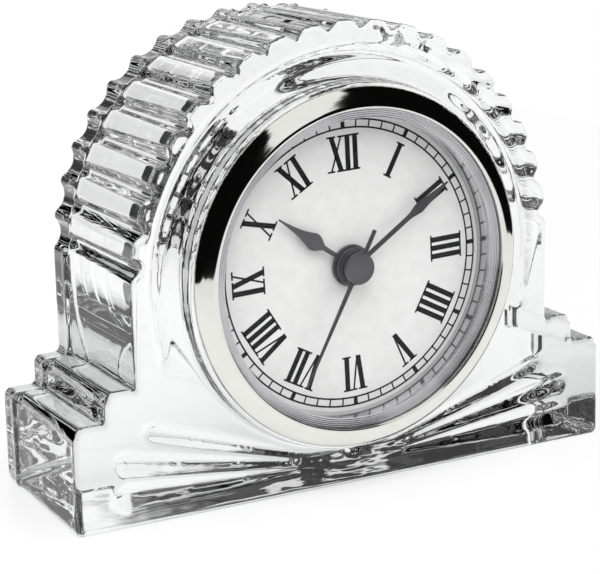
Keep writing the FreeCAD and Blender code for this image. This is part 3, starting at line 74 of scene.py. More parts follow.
# Softened pieces: how far apart vertices are welded in metres, how strongly each pass smooths
# and what share of the faces is kept, then the grid size and the passes of each piece
WELD_DISTANCE = 2e-6
POLISH_FACTOR = 0.5
SOFTENED_SHARE = 0.42
GLASS_GRID = 0.4
GLASS_PASSES = 12
SMALL_GRID = 0.15
SMALL_PASSES = 3

# Bezel, its outer section in (depth, radius) corners from the lens outward
BEZEL_BORE = 30.5
BEZEL_BACK = -3.0
BEZEL_SECTION = [(-5.4, 30.1), (-5.88, 30.25), (-5.9, 31.0), (-5.2, 33.0), (-3.9, 34.05), (-3.0, 34.1)]
BEZEL_ROUND = 0.9
BEZEL_STEPS = 7

# Lens, and the silvered wall behind it. A groove's start is a share of the pitch.
LENS_FRONT = -5.4
LENS_BACK = -4.1
LENS_GAP = 0.12
LENS_RADIUS = 30.4
LENS_BEVEL = 0.1
WALL_RADIUS = 28.3
WALL_OUTER_RADIUS = 29.4
WALL_BACK = 0.55
WALL_GROOVE_DEPTH = 0.09
WALL_GROOVE_PITCH = 0.34
WALL_GROOVE_START = 0.4
WALL_GROOVES = 4
WALL_FLANGE = 0.09
WALL_FLANGE_RADIUS = 30.35
FLANGE_GROOVE_PITCH = 0.38
FLANGE_GROOVE_START = 0.5
FLANGE_GROOVES = 5

# Dial print
DIAL_TURN = -2.0
HOUR_STEP = 30
MINUTE_STEP = 6
PRINT_THICKNESS = 0.02
TRACK_THICKNESS = 0.03
TRACK_INNER_RADIUS = 25.9
TRACK_OUTER_RADIUS = 27.4
TRACK_LINE = 0.32
TRACK_PARTS = 12
TRACK_STEPS = 12
MINUTE_LINE = 0.3
FIVE_MINUTE_LINE = 0.85

# Numerals. The insets are those of a thick and a thin stroke from the end of a V or X.
NUMERALS = ["I", "II", "III", "IIII", "V", "VI", "VII", "VIII", "IX", "X", "XI", "XII"]
NUMERAL_INNER_RADIUS = 17.8
NUMERAL_OUTER_RADIUS = 24.6
LETTER_WIDTH = {"I": 1.62, "V": 3.1, "X": 3.2}
THICK = 1.02
THIN = 0.36
THICK_INSET = 0.62
THIN_INSET = 0.45
V_FOOT = 0.1
SERIF = 0.34
SERIF_REACH = 0.42

# Hands: clock angles, front depths, and (reach, half width) stations from the axis
HOUR_ANGLE = 305.0
MINUTE_ANGLE = 56.0
SECOND_ANGLE = 208.0
HOUR_FRONT = -0.8
MINUTE_FRONT = -1.8
SECOND_FRONT = -3.1
HOUR_STATIONS = [(0, 0.46), (6.5, 0.46), (7.6, 0.66), (8.7, 1.35), (9.9, 1.66), (11.2, 1.25),
                 (13.5, 0.66), (16.5, 0.3), (18.6, 0.14)]
MINUTE_STATIONS = [(0, 0.48), (12.0, 0.48), (14.6, 0.55), (16.4, 0.95), (17.6, 0.97), (20.5, 0.6),
                   (24.6, 0.14)]
SECOND_STATIONS = [(-7.7, 0.34), (-7.2, 0.37), (-3, 0.4), (0, 0.45), (6, 0.38), (24.1, 0.18)]
STATION_STEPS = 8
HAND_THICKNESS = 0.3
HAND_EDGE = 0.08
SECOND_EDGE = 0.06
EDGE_SEGMENTS = 2
EDGE_ANGLE = 40

# Discs on the dial axis
DISC_ROUND = 0.18
DISC_STEPS = 96
EYE_BORE = 0.5
HOUR_EYE_RADIUS = 3.4
MINUTE_EYE_RADIUS = 3.1
COLLET_HEIGHT = 0.5
HOUR_COLLET_RADIUS = 4.0
HOUR_COLLET_BORE = 1.7
MINUTE_COLLET_RADIUS = 3.55
MINUTE_COLLET_BORE = 1.0
CAP_FRONT = -3.7
CAP_HEIGHT = 0.6
CAP_RADIUS = 3.05
CAP_CHAMFER = 0.2

# Moulded details on the back of the insert. The ring has an inner and an outer radius.
CASE_BACK = 15.2
BACK_RING = (26.2, 27.6)
BACK_RING_HEIGHT = 0.35
BACK_RING_ROUND = 0.15
ARROW_RADIUS = 7.0
ARROW_WIDTH = 0.5
ARROW_SPAN = (-60, 30)
ARROW_STEPS = 24
ARROW_HEAD = 1.3

# Table: left, right, front and back edge, and how far it lies below the clock, in metres.
# The glow is the share of plain white that camera, mirror and glass see in it.
TABLE_EDGES = (-0.3, 0.26, -0.26, 1.6)
TABLE_DROP = 0.00005
TABLE_GLOW = 0.4
TABLE_WHITE = (0.9, 0.9, 0.9, 1)
TABLE_ROUGHNESS = 0.25
TABLE_SPECULAR = 0.12

# Room, in parts of a direction's unit length. Each pair is where a bright form starts and
# where it is full. A light of 1 is plain white.
WHITE = (1, 1, 1, 1)
ROOM_DARK = 0.003
SOFT_LIGHT = 0.55
BACKDROP_DEPTH = (0.3, 0.45)
BACKDROP_TOP = (0.22, 0.1)
BACKDROP_LEFT = (-0.35, -0.2)
BACKDROP_RIGHT = (0.95, 0.85)
STRIP_LEFT = (0.25, 0.28)
STRIP_RIGHT = (0.40, 0.36)
STRIP_RISE = (0.05, 0.15)
STRIP_LEAN = 0.6
RAGGED_NOISE = {"Scale": 10.0, "Detail": 6.0, "Roughness": 0.6, "Distortion": 1.2}
RAGGED_MIDDLE = 0.5
RAGGED_SHIFT = 0.16
CLUTTER_SHARE = (0.54, 0.6)
CLUTTER_LIGHT = 0.7

# Suns: name, place toward which each stands, strength and spread
SUNS = [("key", (-0.35, -0.55, 0.9), 2.1, 50), ("fill", (0.7, -0.5, 0.6), 0.95, 50)]

# Camera, fitted to the photograph. It sees from CAMERA_NEAR to CAMERA_FAR, in metres.
CAMERA_PLACE = (-197.42, -366.33, 141.34)
CAMERA_AIM = (-10.665, -19.1, 40.11)
CAMERA_ROLL = -1.296
CAMERA_LENS = 132.5
CAMERA_SENSOR = 36.0
CAMERA_NEAR = 0.01
CAMERA_FAR = 20


# Meshes

def spot(depth, across=0.0, rise=0.0):
    """Point in metres from a depth behind the glass front and a place on the dial."""
    return Vector((across, GLASS_FRONT + depth, DIAL_CENTRE_HEIGHT + rise)) * MM


def turned(reach, side, angle):
    """Place on the dial at a reach from its centre along a clock angle, and to the side of it."""
    turn = math.radians(angle)
    return (reach * math.sin(turn) + side * math.cos(turn),
            reach * math.cos(turn) - side * math.sin(turn))


def new_object(name, data):
    """Object in the scene for a mesh, a lamp or a camera."""
    made = bpy.data.objects.new(name, data)
    bpy.context.scene.collection.objects.link(made)
    return made


def new_piece(name, mesh, body, material, replaced=()):
    """Object for a finished mesh, which rides on a body and may stand for CAD nodes."""
    piece = new_object(name, mesh)
    mesh.materials.clear()
    mesh.materials.append(material)
    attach(piece, body)
    if replaced:
        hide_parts(*replaced)
    return piece


def mesh_from(bm, name):
    """Mesh with outward faces, smooth where the surface is curved."""
    bmesh.ops.recalc_face_normals(bm, faces=bm.faces)
    mesh = bpy.data.meshes.new(name)
    bm.to_mesh(mesh)
    bm.free()
    mesh.shade_smooth()
    mesh.set_sharp_from_angle(angle=math.radians(SHARP_ANGLE))
    return mesh


def lathe(name, profile, closed=True, steps=LATHE_STEPS):
    """Turned mesh about the dial axis from (depth, radius) stations."""
    bm = bmesh.new()
    rings = []
    for depth, radius in profile:
        if radius <= 0:
            rings.append([bm.verts.new(spot(depth))])
            continue
        places = [turned(radius, 0, 360 * k / steps) for k in range(steps)]
        rings.append([bm.verts.new(spot(depth, *place)) for place in places])
    pairs = list(zip(rings, rings[1:]))
    if closed:
        pairs.append((rings[-1], rings[0]))
    for first, second in pairs:
        if len(first) == 1 and len(second) == 1:
            continue
        for k in range(steps):
            following = (k + 1) % steps
            corners = (first[k % len(first)], first[following % len(first)],
                       second[following % len(second)], second[k % len(second)])
            bm.faces.new(list(dict.fromkeys(corners)))
    return mesh_from(bm, name)


def plate(name, outlines, depth, thickness):
    """Flat plate from closed outlines of (across, rise) points, laid between two depths."""
    bm = bmesh.new()
    for outline in outlines:
        front = [bm.verts.new(spot(depth, *point)) for point in outline]
        back = [bm.verts.new(spot(depth + thickness, *point)) for point in outline]
        bm.faces.new(front)
        bm.faces.new(list(reversed(back)))
        for k in range(len(outline)):
            following = (k + 1) % len(outline)
            bm.faces.new((front[k], back[k], back[following], front[following]))
    return mesh_from(bm, name)


def rounded(corners, radius, steps=CORNER_STEPS):
    """Closed profile with a short curve in place of each corner."""
    points = []
    for index, corner in enumerate(corners):
        here = Vector(corner)
        before = Vector(corners[index - 1]) - here
        after = Vector(corners[(index + 1) % len(corners)]) - here
        reach = min(radius, before.length / CORNER_PARTS, after.length / CORNER_PARTS)
        start = here + before.normalized() * reach
        stop = here + after.normalized() * reach
        for step in range(steps + 1):
            share = step / steps
            points.append(tuple(
                start * (1 - share) ** 2 + here * 2 * share * (1 - share) + stop * share ** 2))
    return points


def sector(inner, outer, start, stop, steps):
    """Outline of a ring sector between two clock angles."""
    angles = [start + (stop - start) * k / steps for k in range(steps + 1)]
    far = [turned(outer, 0, angle) for angle in angles]
    near = [turned(inner, 0, angle) for angle in reversed(angles)]
    return far + near


# Shader nodes

def feed(tree, node, inputs):
    """Set inputs of a node by name or number, each to a value or by a link from a socket."""
    for name, value in inputs.items():
        if isinstance(value, bpy.types.NodeSocket):
            tree.links.new(value, node.inputs[name])
        else:
            node.inputs[name].default_value = value
    return node


def add_node(tree, kind, inputs, **settings):
    """New node with its settings made and its inputs fed."""
    node = tree.nodes.new(kind)
    for name, value in settings.items():
        setattr(node, name, value)
    return feed(tree, node, inputs)


def combine(tree, kind, first, second):
    """Result of a math node on two values, each a socket or a number."""
    return add_node(tree, "ShaderNodeMath", {0: first, 1: second}, operation=kind).outputs["Value"]


def product(tree, first, *others):
    """Values multiplied together."""
    for other in others:
        first = combine(tree, "MULTIPLY", first, other)
    return first


def between(tree, share, first, second):
    """Value that goes from a first to a second value by a share."""
    inputs = {0: share, 2: first, 3: second}
    return add_node(tree, "ShaderNodeMix", inputs, data_type="FLOAT").outputs[0]


def ramp_up(tree, source, span):
    """Smooth step from 0 to 1 as a value goes from the span's first number to its second."""
    low, high = span
    inputs = {"Value": source, "From Min": low, "From Max": high}
    kind = "ShaderNodeMapRange"
    return add_node(tree, kind, inputs, interpolation_type="SMOOTHSTEP").outputs["Result"]


def ranged(tree, source, low, high):
    """Value mapped from 0..1 to a range."""
    inputs = {"Value": source, "To Min": low, "To Max": high}
    return add_node(tree, "ShaderNodeMapRange", inputs).outputs["Result"]


def noise(tree, scale, detail=GRAIN_DETAIL, stretch=(1, 1, 1)):
    """Noise over the object's own coordinates, in features per metre."""
    place = add_node(tree, "ShaderNodeTexCoord", {}).outputs["Object"]
    mapping = add_node(tree, "ShaderNodeMapping", {"Vector": place, "Scale": stretch})
    inputs = {"Vector": mapping.outputs["Vector"], "Scale": scale, "Detail": detail}
    return add_node(tree, "ShaderNodeTexNoise", inputs).outputs["Fac"]


def tinted(tree, source, dark, light):
    """Colour ramp between two colours."""
    ramp = add_node(tree, "ShaderNodeValToRGB", {"Fac": source})
    for element, colour, place in zip(ramp.color_ramp.elements, (dark, light), TINT_PLACES):
        element.color = (*colour, 1)
        element.position = place
    return ramp.outputs["Color"]


def bumped(tree, source, strength, depth):
    """Surface direction where a value raises the surface, by a depth in metres at most."""
    inputs = {"Height": source, "Strength": strength, "Distance": depth}
    return add_node(tree, "ShaderNodeBump", inputs).outputs["Normal"]


# Materials

def new_material(name):
    """Material with its node tree and its principled shader."""
    material = bpy.data.materials.new(name)
    material.use_nodes = True
    tree = material.node_tree
    return material, tree, tree.nodes["Principled BSDF"]


def finish_mix(tree, share, first, second):
    """Send a mix of two shaders to the material's output."""
    mix = add_node(tree, "ShaderNodeMixShader", {0: share, 1: first, 2: second})
    feed(tree, tree.nodes["Material Output"], {"Surface": mix.outputs["Shader"]})


def surface(name, dark, light, rough, grain, bump, metallic=0.0, stretch=(1, 1, 1), specular=0.5):
    """Opaque finish with mottled colour, uneven gloss and a fine grain."""
    material, tree, shader = new_material(name)
    fine = noise(tree, grain, stretch=stretch)
    feed(tree, shader, {
        "Base Color": tinted(tree, noise(tree, grain / MOTTLE_SIZE), dark, light),
        "Metallic": metallic,
        "Roughness": ranged(tree, fine, *rough),
        "Specular IOR Level": specular,
        "Normal": bumped(tree, fine, bump, GRAIN_DEPTH),
    })
    return material


def clear(name, colour, ior, wave, wave_scale, shade):
    """Clear glass with a slight wave in its surface, which lets light through to what is behind."""
    material, tree, shader = new_material(name)
    feed(tree, shader, {
        "Base Color": (*colour, 1),
        "Transmission Weight": 1.0,
        "IOR": ior,
        "Roughness": 0.0,
        "Normal": bumped(tree, noise(tree, wave_scale, detail=WAVE_DETAIL), wave, WAVE_DEPTH),
    })
    rays = add_node(tree, "ShaderNodeLightPath", {}).outputs
    through = add_node(tree, "ShaderNodeBsdfTransparent", {"Color": (*shade, 1)})
    share = combine(tree, "MAXIMUM", rays["Is Shadow Ray"], rays["Is Diffuse Ray"])
    finish_mix(tree, share, shader.outputs["BSDF"], through.outputs["BSDF"])
    return material


CRYSTAL = clear("crystal", (0.94, 0.945, 0.945), ior=1.52, wave=0.3, wave_scale=50,
                shade=(0.82, 0.83, 0.83))
LENS = clear("lens_clear", (0.99, 0.99, 0.995), ior=1.22, wave=0.0, wave_scale=60,
             shade=(0.94, 0.94, 0.94))
CHROME = surface("chrome", (0.76, 0.76, 0.72), (0.80, 0.80, 0.765), rough=(0.03, 0.09),
                 grain=1400, bump=0.02, metallic=1.0)
REFLECTOR = surface("reflector", (0.50, 0.50, 0.515), (0.58, 0.58, 0.595), rough=(0.08, 0.16),
                    grain=700, bump=0.05, metallic=0.85)
DIAL = surface("dial", (0.80, 0.80, 0.79), (0.86, 0.86, 0.85), rough=(0.42, 0.52),
               grain=2600, bump=0.03)
PRINT = surface("dial_print", (0.003, 0.003, 0.004), (0.006, 0.006, 0.007), rough=(0.45, 0.6),
                grain=3000, bump=0.04, specular=0.1)
HANDS = surface("hands", (0.07, 0.07, 0.075), (0.10, 0.10, 0.107), rough=(0.18, 0.3),
                grain=2200, bump=0.05, metallic=0.6)
DARK_HANDS = surface("dark_hands", (0.028, 0.028, 0.031), (0.045, 0.045, 0.048), rough=(0.25, 0.38),
                     grain=2200, bump=0.05, metallic=0.4)
CASE_PLASTIC = surface("case_plastic", (0.016, 0.016, 0.017), (0.03, 0.03, 0.032), rough=(0.35, 0.5),
                       grain=1800, bump=0.3)
GRIP = surface("grip", (0.82, 0.83, 0.84), (0.88, 0.89, 0.90), rough=(0.3, 0.45),
               grain=900, bump=0.1)
TRAIN = surface("train_plastic", (0.78, 0.77, 0.70), (0.86, 0.85, 0.80), rough=(0.35, 0.5),
                grain=2500, bump=0.1)
KNOB = surface("knob_plastic", (0.84, 0.84, 0.80), (0.90, 0.90, 0.87), rough=(0.22, 0.34),
               grain=2200, bump=0.08)
BRASS = surface("brass", (0.62, 0.44, 0.16), (0.78, 0.6, 0.28), rough=(0.22, 0.36),
                grain=3000, bump=0.08, metallic=1.0, stretch=BRUSHED)
STEEL = surface("steel", (0.50, 0.50, 0.50), (0.66, 0.66, 0.65), rough=(0.22, 0.38),
                grain=3000, bump=0.08, metallic=1.0, stretch=BRUSHED)
COPPER = surface("copper", (0.50, 0.20, 0.09), (0.72, 0.34, 0.18), rough=(0.3, 0.45),
                 grain=5000, bump=0.3, metallic=0.9, stretch=WOUND)
BOARD = surface("board", (0.02, 0.16, 0.07), (0.04, 0.26, 0.12), rough=(0.28, 0.42),
                grain=1500, bump=0.1)
EPOXY = surface("epoxy", (0.008, 0.008, 0.009), (0.02, 0.02, 0.022), rough=(0.15, 0.3),
                grain=1200, bump=0.15)

SLOT_MATERIALS = {
    "crystal": CRYSTAL, "chrome": CHROME, "lens": LENS, "case_plastic": CASE_PLASTIC, "grip": GRIP,
    "reflector": REFLECTOR, "dial": DIAL, "train_plastic": TRAIN, "knob_plastic": KNOB,
    "brass": BRASS, "steel": STEEL, "hands": HANDS, "copper": COPPER, "board": BOARD,
    "epoxy": EPOXY,
}


def dress_nodes():
    """Give every CAD node the material of the record's slot that it takes."""
    for entry in frame["record"]["subparts"]:
        node = frame["nodes"][entry["node"]]
        node.data.materials.clear()
        node.data.materials.append(SLOT_MATERIALS[entry["material_slot"]])


# Moulded pieces

def build_softened(name, node, body, material, grid, passes):
    """Piece in the shape of a CAD node, its edges and hollows melted to soft rounds."""
    bm = bmesh.new()
    bm.from_mesh(frame["nodes"][node].data)
    bmesh.ops.remove_doubles(bm, verts=bm.verts, dist=WELD_DISTANCE)
    holder = new_object(f"{name}_sharp", mesh_from(bm, f"{name}_sharp"))
    remesh = holder.modifiers.new("even_grid", "REMESH")
    remesh.mode = "VOXEL"
    remesh.voxel_size = grid * MM
    polish = holder.modifiers.new("polish", "SMOOTH")
    polish.factor = POLISH_FACTOR
    polish.iterations = passes
    thin = holder.modifiers.new("fewer_faces", "DECIMATE")
    thin.ratio = SOFTENED_SHARE
    evaluated = holder.evaluated_get(bpy.context.evaluated_depsgraph_get())
    mesh = bpy.data.meshes.new_from_object(evaluated)
    mesh.shade_smooth()
    bpy.data.objects.remove(holder)
    new_piece(name, mesh, body, material, [node])


def build_back_details():
    """Raised ring on the back of the case, and a turning arrow round the setting knob."""
    inner, outer = BACK_RING
    low, high = CASE_BACK, CASE_BACK + BACK_RING_HEIGHT
    corners = [(low, inner), (high, inner), (high, outer), (low, outer)]
    ring = lathe("case_back_ring", rounded(corners, BACK_RING_ROUND))
    new_piece("case_back_ring", ring, "insert", CASE_PLASTIC)
    corner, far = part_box("set_knob")
    middle = (corner + far) / 2 / MM
    start, stop = ARROW_SPAN
    half = ARROW_WIDTH / 2
    arc = sector(ARROW_RADIUS - half, ARROW_RADIUS + half, start, stop, ARROW_STEPS)
    head = [turned(ARROW_RADIUS - ARROW_HEAD / 2, 0, stop),
            turned(ARROW_RADIUS + ARROW_HEAD / 2, 0, stop),
            turned(ARROW_RADIUS, ARROW_HEAD, stop)]
    placed = [[(x + middle.x, y + middle.z - DIAL_CENTRE_HEIGHT) for x, y in outline]
              for outline in (arc, head)]
    arrow = plate("turn_arrow", placed, CASE_BACK, BACK_RING_HEIGHT / 2)
    new_piece("turn_arrow", arrow, "insert", CASE_PLASTIC)


# Insert

def build_bezel():
    """Polished rim with a rolled outer shoulder and a narrow inner lip."""
    profile = [(BEZEL_BACK, BEZEL_BORE), (LENS_FRONT, BEZEL_BORE)]
    profile += rounded(BEZEL_SECTION, BEZEL_ROUND, BEZEL_STEPS)
    new_piece("bezel_rim", lathe("bezel_rim", profile), "insert", CHROME, ["bezel"])


def build_lens():
    """Flat lens with a chamfered edge."""
    back = LENS_BACK - LENS_GAP
    face_radius = LENS_RADIUS - LENS_BEVEL
    profile = [(LENS_FRONT, 0.0), (LENS_FRONT, face_radius), (LENS_FRONT + LENS_BEVEL, LENS_RADIUS),
               (back - LENS_BEVEL, LENS_RADIUS), (back, face_radius), (back, 0.0)]
    mesh = lathe("clear_lens", profile, closed=False)
    new_piece("clear_lens", mesh, "insert", LENS, ["lens"])


def build_wall():
    """Silvered inner wall between lens and dial, with fine turned grooves toward the lens."""
    front, floor = LENS_BACK - WALL_FLANGE, LENS_BACK - WALL_FLANGE / 4
    profile = [(WALL_BACK, WALL_OUTER_RADIUS), (LENS_BACK, WALL_OUTER_RADIUS),
               (LENS_BACK, WALL_FLANGE_RADIUS)]
    for groove in range(FLANGE_GROOVES):
        middle = WALL_FLANGE_RADIUS - FLANGE_GROOVE_PITCH * (groove + FLANGE_GROOVE_START)
        side = FLANGE_GROOVE_PITCH / 3
        profile += [(front, middle + side), (floor, middle), (front, middle - side)]
    profile.append((front, WALL_RADIUS))
    for groove in range(WALL_GROOVES):
        start = LENS_BACK + WALL_FLANGE + WALL_GROOVE_PITCH * (groove + WALL_GROOVE_START)
        profile += [(start, WALL_RADIUS),
                    (start + WALL_GROOVE_PITCH / 4, WALL_RADIUS + WALL_GROOVE_DEPTH),
                    (start + WALL_GROOVE_PITCH / 2, WALL_RADIUS)]
    profile.append((WALL_BACK, WALL_RADIUS))
    mesh = lathe("silvered_wall", profile)
    new_piece("silvered_wall", mesh, "insert", REFLECTOR, ["chapter_ring"])


# Dial print

def stroke(start, stop, width):
    """Bar between two points of a numeral, as a four-cornered outline."""
    (x0, y0), (x1, y1) = start, stop
    half = width / 2
    return [(x0 - half, y0), (x0 + half, y0), (x1 + half, y1), (x1 - half, y1)]


def letter(kind, left, height):
    """Strokes of one letter of a numeral that stands on y = 0, with its serif spans."""
    width = LETTER_WIDTH[kind]
    middle = left + width / 2
    half = THICK / 2
    if kind == "I":
        spans = [(middle - half, middle + half)]
        return [stroke((middle, 0), (middle, height), THICK)], spans, spans
    high_left, high_right = left + THICK_INSET, left + width - THIN_INSET
    tops = [(high_left - half, high_left + half), (high_right - THIN, high_right + THIN)]
    if kind == "V":
        thick_foot, thin_foot = middle - V_FOOT, middle + V_FOOT
        feet = []
    else:
        thick_foot, thin_foot = left + width - THICK_INSET, left + THIN_INSET
        feet = [(thin_foot - THIN, thin_foot + THIN), (thick_foot - half, thick_foot + half)]
    strokes = [stroke((thick_foot, 0), (high_left, height), THICK),
               stroke((thin_foot, 0), (high_right, height), THIN)]
    return strokes, tops, feet


def numeral(text, hour):
    """Outlines of a numeral, feet toward the centre, at its hour."""
    height = NUMERAL_OUTER_RADIUS - NUMERAL_INNER_RADIUS
    left = -sum(LETTER_WIDTH[kind] for kind in text) / 2
    outlines = []
    for kind in text:
        strokes, tops, feet = letter(kind, left, height)
        outlines += strokes
        for level, spans in ((height - SERIF, tops), (0, feet)):
            for low, high in spans:
                start, stop = low - SERIF_REACH, high + SERIF_REACH
                outlines.append([(start, level), (stop, level), (stop, level + SERIF),
                                 (start, level + SERIF)])
        left += LETTER_WIDTH[kind]
    angle = hour * HOUR_STEP + DIAL_TURN
    return [[turned(NUMERAL_INNER_RADIUS + y, x, angle) for x, y in outline] for outline in outlines]


def build_numerals(depth):
    """Twelve roman numerals, printed on a face at a depth."""
    outlines = []
    for hour, text in enumerate(NUMERALS, start=1):
        outlines += numeral(text, hour)
    mesh = plate("dial_numerals", outlines, depth - PRINT_THICKNESS, PRINT_THICKNESS)
    new_piece("dial_numerals", mesh, "insert", PRINT)


def build_track(depth):
    """Railway minute track with heavier marks at each hour, printed on a face at a depth."""
    outlines = []
    for radius in (TRACK_INNER_RADIUS, TRACK_OUTER_RADIUS):
        inner, outer = radius - TRACK_LINE / 2, radius + TRACK_LINE / 2
        for part in range(TRACK_PARTS):
            start, stop = 360 * part / TRACK_PARTS, 360 * (part + 1) / TRACK_PARTS
            outlines.append(sector(inner, outer, start, stop, TRACK_STEPS))
    for minute in range(60):
        width = FIVE_MINUTE_LINE if minute % 5 == 0 else MINUTE_LINE
        half = math.degrees(width / 2 / TRACK_OUTER_RADIUS)
        angle = minute * MINUTE_STEP + DIAL_TURN
        outlines.append(sector(TRACK_INNER_RADIUS, TRACK_OUTER_RADIUS, angle - half, angle + half, 1))
    mesh = plate("minute_track", outlines, depth - TRACK_THICKNESS, TRACK_THICKNESS)
    new_piece("minute_track", mesh, "insert", PRINT)


# Hands

def smooth_line(stations):
    """Points of a smooth curve through (reach, half width) stations."""
    points = []
    for k in range(len(stations) - 1):
        before = Vector(stations[max(k - 1, 0)])
        start = Vector(stations[k])
        stop = Vector(stations[k + 1])
        after = Vector(stations[min(k + 2, len(stations) - 1)])
        for step in range(STATION_STEPS):
            t = step / STATION_STEPS
            points.append(tuple(0.5 * (2 * start + (stop - before) * t
                                       + (2 * before - 5 * start + 4 * stop - after) * t ** 2
                                       + (3 * start - before - 3 * stop + after) * t ** 3)))
    points.append(tuple(stations[-1]))
    return points


def build_hand(name, body, node, stations, angle, front, edge, material):
    """Flat hand from (reach, half width) stations at a clock angle, its edges slightly rounded."""
    line = smooth_line(stations)
    outline = [turned(reach, half, angle) for reach, half in line]
    outline += [turned(reach, -half, angle) for reach, half in reversed(line)]
    mesh = plate(name, [outline], front, HAND_THICKNESS)
    piece = new_piece(name, mesh, body, material, [node])
    bevel = piece.modifiers.new("edge_rounding", "BEVEL")
    bevel.width = edge * MM
    bevel.segments = EDGE_SEGMENTS
    bevel.limit_method = "ANGLE"
    bevel.angle_limit = math.radians(EDGE_ANGLE)
    bevel.harden_normals = True


def build_disc(name, body, radius, bore, front, height, nodes=()):
    """Turned disc on the dial axis with polished rims."""
    back = front + height
    profile = rounded([(front, bore), (front, radius), (back, radius), (back, bore)], DISC_ROUND)
    new_piece(name, lathe(name, profile, steps=DISC_STEPS), body, HANDS, nodes)


def build_cap():
    """Flat cap over the second hand's pipe, with a broken front edge."""
    front, back, radius, chamfer = CAP_FRONT, CAP_FRONT + CAP_HEIGHT, CAP_RADIUS, CAP_CHAMFER
    profile = [(front, 0.0), (front, radius - chamfer), (front + chamfer / 3, radius - chamfer / 3),
               (front + chamfer, radius), (back, radius), (back, 0.0)]
    mesh = lathe("second_collet", profile, closed=False, steps=DISC_STEPS)
    new_piece("second_collet", mesh, "second", HANDS, ["second_cap"])


def build_hands():
    """Three hands and the stack of discs that carries them."""
    build_hand("hour_pointer", "hour", "hour_hand", HOUR_STATIONS, HOUR_ANGLE, HOUR_FRONT,
               HAND_EDGE, HANDS)
    build_hand("minute_pointer", "minute", "minute_hand", MINUTE_STATIONS, MINUTE_ANGLE, MINUTE_FRONT,
               HAND_EDGE, DARK_HANDS)
    build_hand("second_pointer", "second", "second_hand", SECOND_STATIONS, SECOND_ANGLE, SECOND_FRONT,
               SECOND_EDGE, DARK_HANDS)
    build_disc("hour_pointer_eye", "hour", HOUR_EYE_RADIUS, EYE_BORE, HOUR_FRONT, HAND_THICKNESS)
    build_disc("hour_collet", "hour", HOUR_COLLET_RADIUS, HOUR_COLLET_BORE,
               HOUR_FRONT + HAND_THICKNESS, COLLET_HEIGHT, ["hour_hub"])
    build_disc("minute_pointer_eye", "minute", MINUTE_EYE_RADIUS, EYE_BORE, MINUTE_FRONT,
               HAND_THICKNESS)
    build_disc("minute_collet", "minute", MINUTE_COLLET_RADIUS, MINUTE_COLLET_BORE,
               MINUTE_FRONT + HAND_THICKNESS, COLLET_HEIGHT, ["minute_hub"])
    build_cap()


# Studio

def build_floor():
    """White table, which camera, mirror and glass see as nearly plain white."""
    left, right, front, back = TABLE_EDGES
    bm = bmesh.new()
    corners = ((left, front), (right, front), (right, back), (left, back))
    bm.faces.new([bm.verts.new((x, y, -TABLE_DROP)) for x, y in corners])
    mesh = bpy.data.meshes.new("table")
    bm.to_mesh(mesh)
    bm.free()
    material, tree, shader = new_material("table_white")
    feed(tree, shader, {"Base Color": TABLE_WHITE, "Roughness": TABLE_ROUGHNESS,
                        "Specular IOR Level": TABLE_SPECULAR})
    glow = add_node(tree, "ShaderNodeEmission", {"Color": WHITE})
    rays = add_node(tree, "ShaderNodeLightPath", {}).outputs
    seen = combine(tree, "MAXIMUM", rays["Is Camera Ray"], rays["Is Glossy Ray"])
    seen = combine(tree, "MAXIMUM", seen, rays["Is Transmission Ray"])
    share = product(tree, seen, TABLE_GLOW)
    finish_mix(tree, share, shader.outputs["BSDF"], glow.outputs["Emission"])
    mesh.materials.append(material)
    new_object("table", mesh)


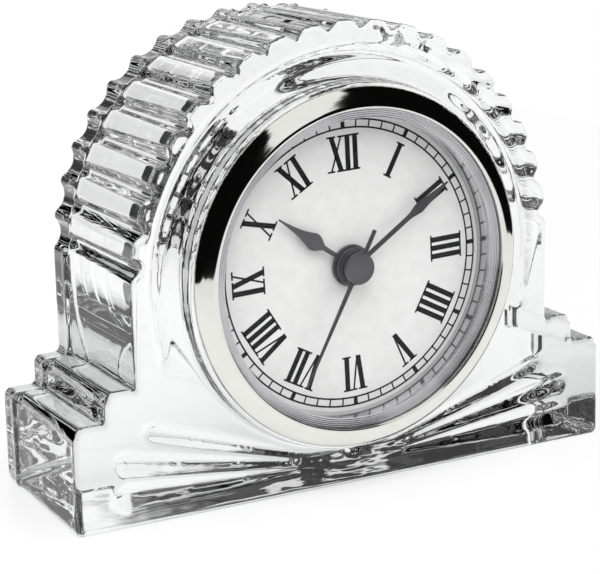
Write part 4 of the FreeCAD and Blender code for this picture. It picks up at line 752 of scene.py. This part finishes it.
def build_world():
    """White backdrop behind and below, a dark room above and in front, as in a product studio."""
    world = bpy.data.worlds.new("studio")
    bpy.context.scene.world = world
    world.use_nodes = True
    tree = world.node_tree
    tree.nodes.clear()
    rays = add_node(tree, "ShaderNodeLightPath", {}).outputs
    glass = rays["Is Transmission Ray"]
    place = add_node(tree, "ShaderNodeTexCoord", {}).outputs["Generated"]
    across, depth, rise = add_node(tree, "ShaderNodeSeparateXYZ", {"Vector": place}).outputs
    ragged = add_node(tree, "ShaderNodeTexNoise", {"Vector": place, **RAGGED_NOISE}).outputs["Fac"]

    # Glass sees a backdrop in front too, so that the clock is as clear from behind
    either = combine(tree, "MAXIMUM", depth, product(tree, depth, -1.0, glass))
    backdrop = product(tree, ramp_up(tree, either, BACKDROP_DEPTH), ramp_up(tree, rise, BACKDROP_TOP),
                       ramp_up(tree, across, BACKDROP_LEFT), ramp_up(tree, across, BACKDROP_RIGHT))

    # A leaning strip of light with ragged edges, and bright clutter that only glass sees
    shift = product(tree, combine(tree, "SUBTRACT", ragged, RAGGED_MIDDLE), RAGGED_SHIFT)
    side = combine(tree, "ADD", across, shift)
    slope = combine(tree, "ADD", side, product(tree, rise, STRIP_LEAN))
    strip = product(tree, ramp_up(tree, slope, STRIP_LEFT), ramp_up(tree, side, STRIP_RIGHT),
                    ramp_up(tree, rise, STRIP_RISE))
    clutter = product(tree, ramp_up(tree, ragged, CLUTTER_SHARE), glass, CLUTTER_LIGHT)

    # The camera sees plain white, and soft light is even
    bright = combine(tree, "MAXIMUM", combine(tree, "MAXIMUM", backdrop, clutter), strip)
    seen = between(tree, rays["Is Camera Ray"], ranged(tree, bright, ROOM_DARK, 1.0), 1.0)
    strength = between(tree, rays["Is Diffuse Ray"], seen, SOFT_LIGHT)
    inputs = {"Color": WHITE, "Strength": strength}
    background = add_node(tree, "ShaderNodeBackground", inputs).outputs["Background"]
    add_node(tree, "ShaderNodeOutputWorld", {"Surface": background})


def add_sun(name, place, strength, spread):
    """Soft even light from the direction of a point, which leaves no highlight of its own."""
    lamp = bpy.data.lights.new(name, "SUN")
    lamp.energy = strength
    lamp.angle = math.radians(spread)
    light = new_object(name, lamp)
    light.location = place
    light.rotation_mode = "QUATERNION"
    light.rotation_quaternion = Vector(place).to_track_quat("Z", "Y")
    light.visible_glossy = False
    light.visible_transmission = False


def build_camera():
    """Camera at the photograph's viewing angle."""
    data = bpy.data.cameras.new("view")
    data.lens = CAMERA_LENS
    data.sensor_width = CAMERA_SENSOR
    data.clip_start = CAMERA_NEAR
    data.clip_end = CAMERA_FAR
    camera = new_object("view", data)
    place, aim = Vector(CAMERA_PLACE) * MM, Vector(CAMERA_AIM) * MM
    facing = (aim - place).to_track_quat("-Z", "Y").to_matrix().to_4x4()
    roll = Matrix.Rotation(math.radians(CAMERA_ROLL), 4, "Z")
    camera.matrix_world = Matrix.Translation(place) @ facing @ roll
    bpy.context.scene.camera = camera


dress_nodes()
build_camera()
build_world()
build_floor()
for sun in SUNS:
    add_sun(*sun)
build_softened("pressed_glass", "glass_case", "case", CRYSTAL, GLASS_GRID, GLASS_PASSES)
build_softened("fluted_knob", "set_knob", "knob", KNOB, SMALL_GRID, SMALL_PASSES)
build_softened("moulded_hatch", "battery_hatch", "hatch", CASE_PLASTIC, SMALL_GRID,
               SMALL_PASSES)
build_back_details()
build_bezel()
build_lens()
build_wall()
dial_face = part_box("dial")[0].y / MM - GLASS_FRONT
build_numerals(dial_face)
build_track(dial_face)
build_hands()

bpy.context.scene.view_settings.view_transform = "Standard"
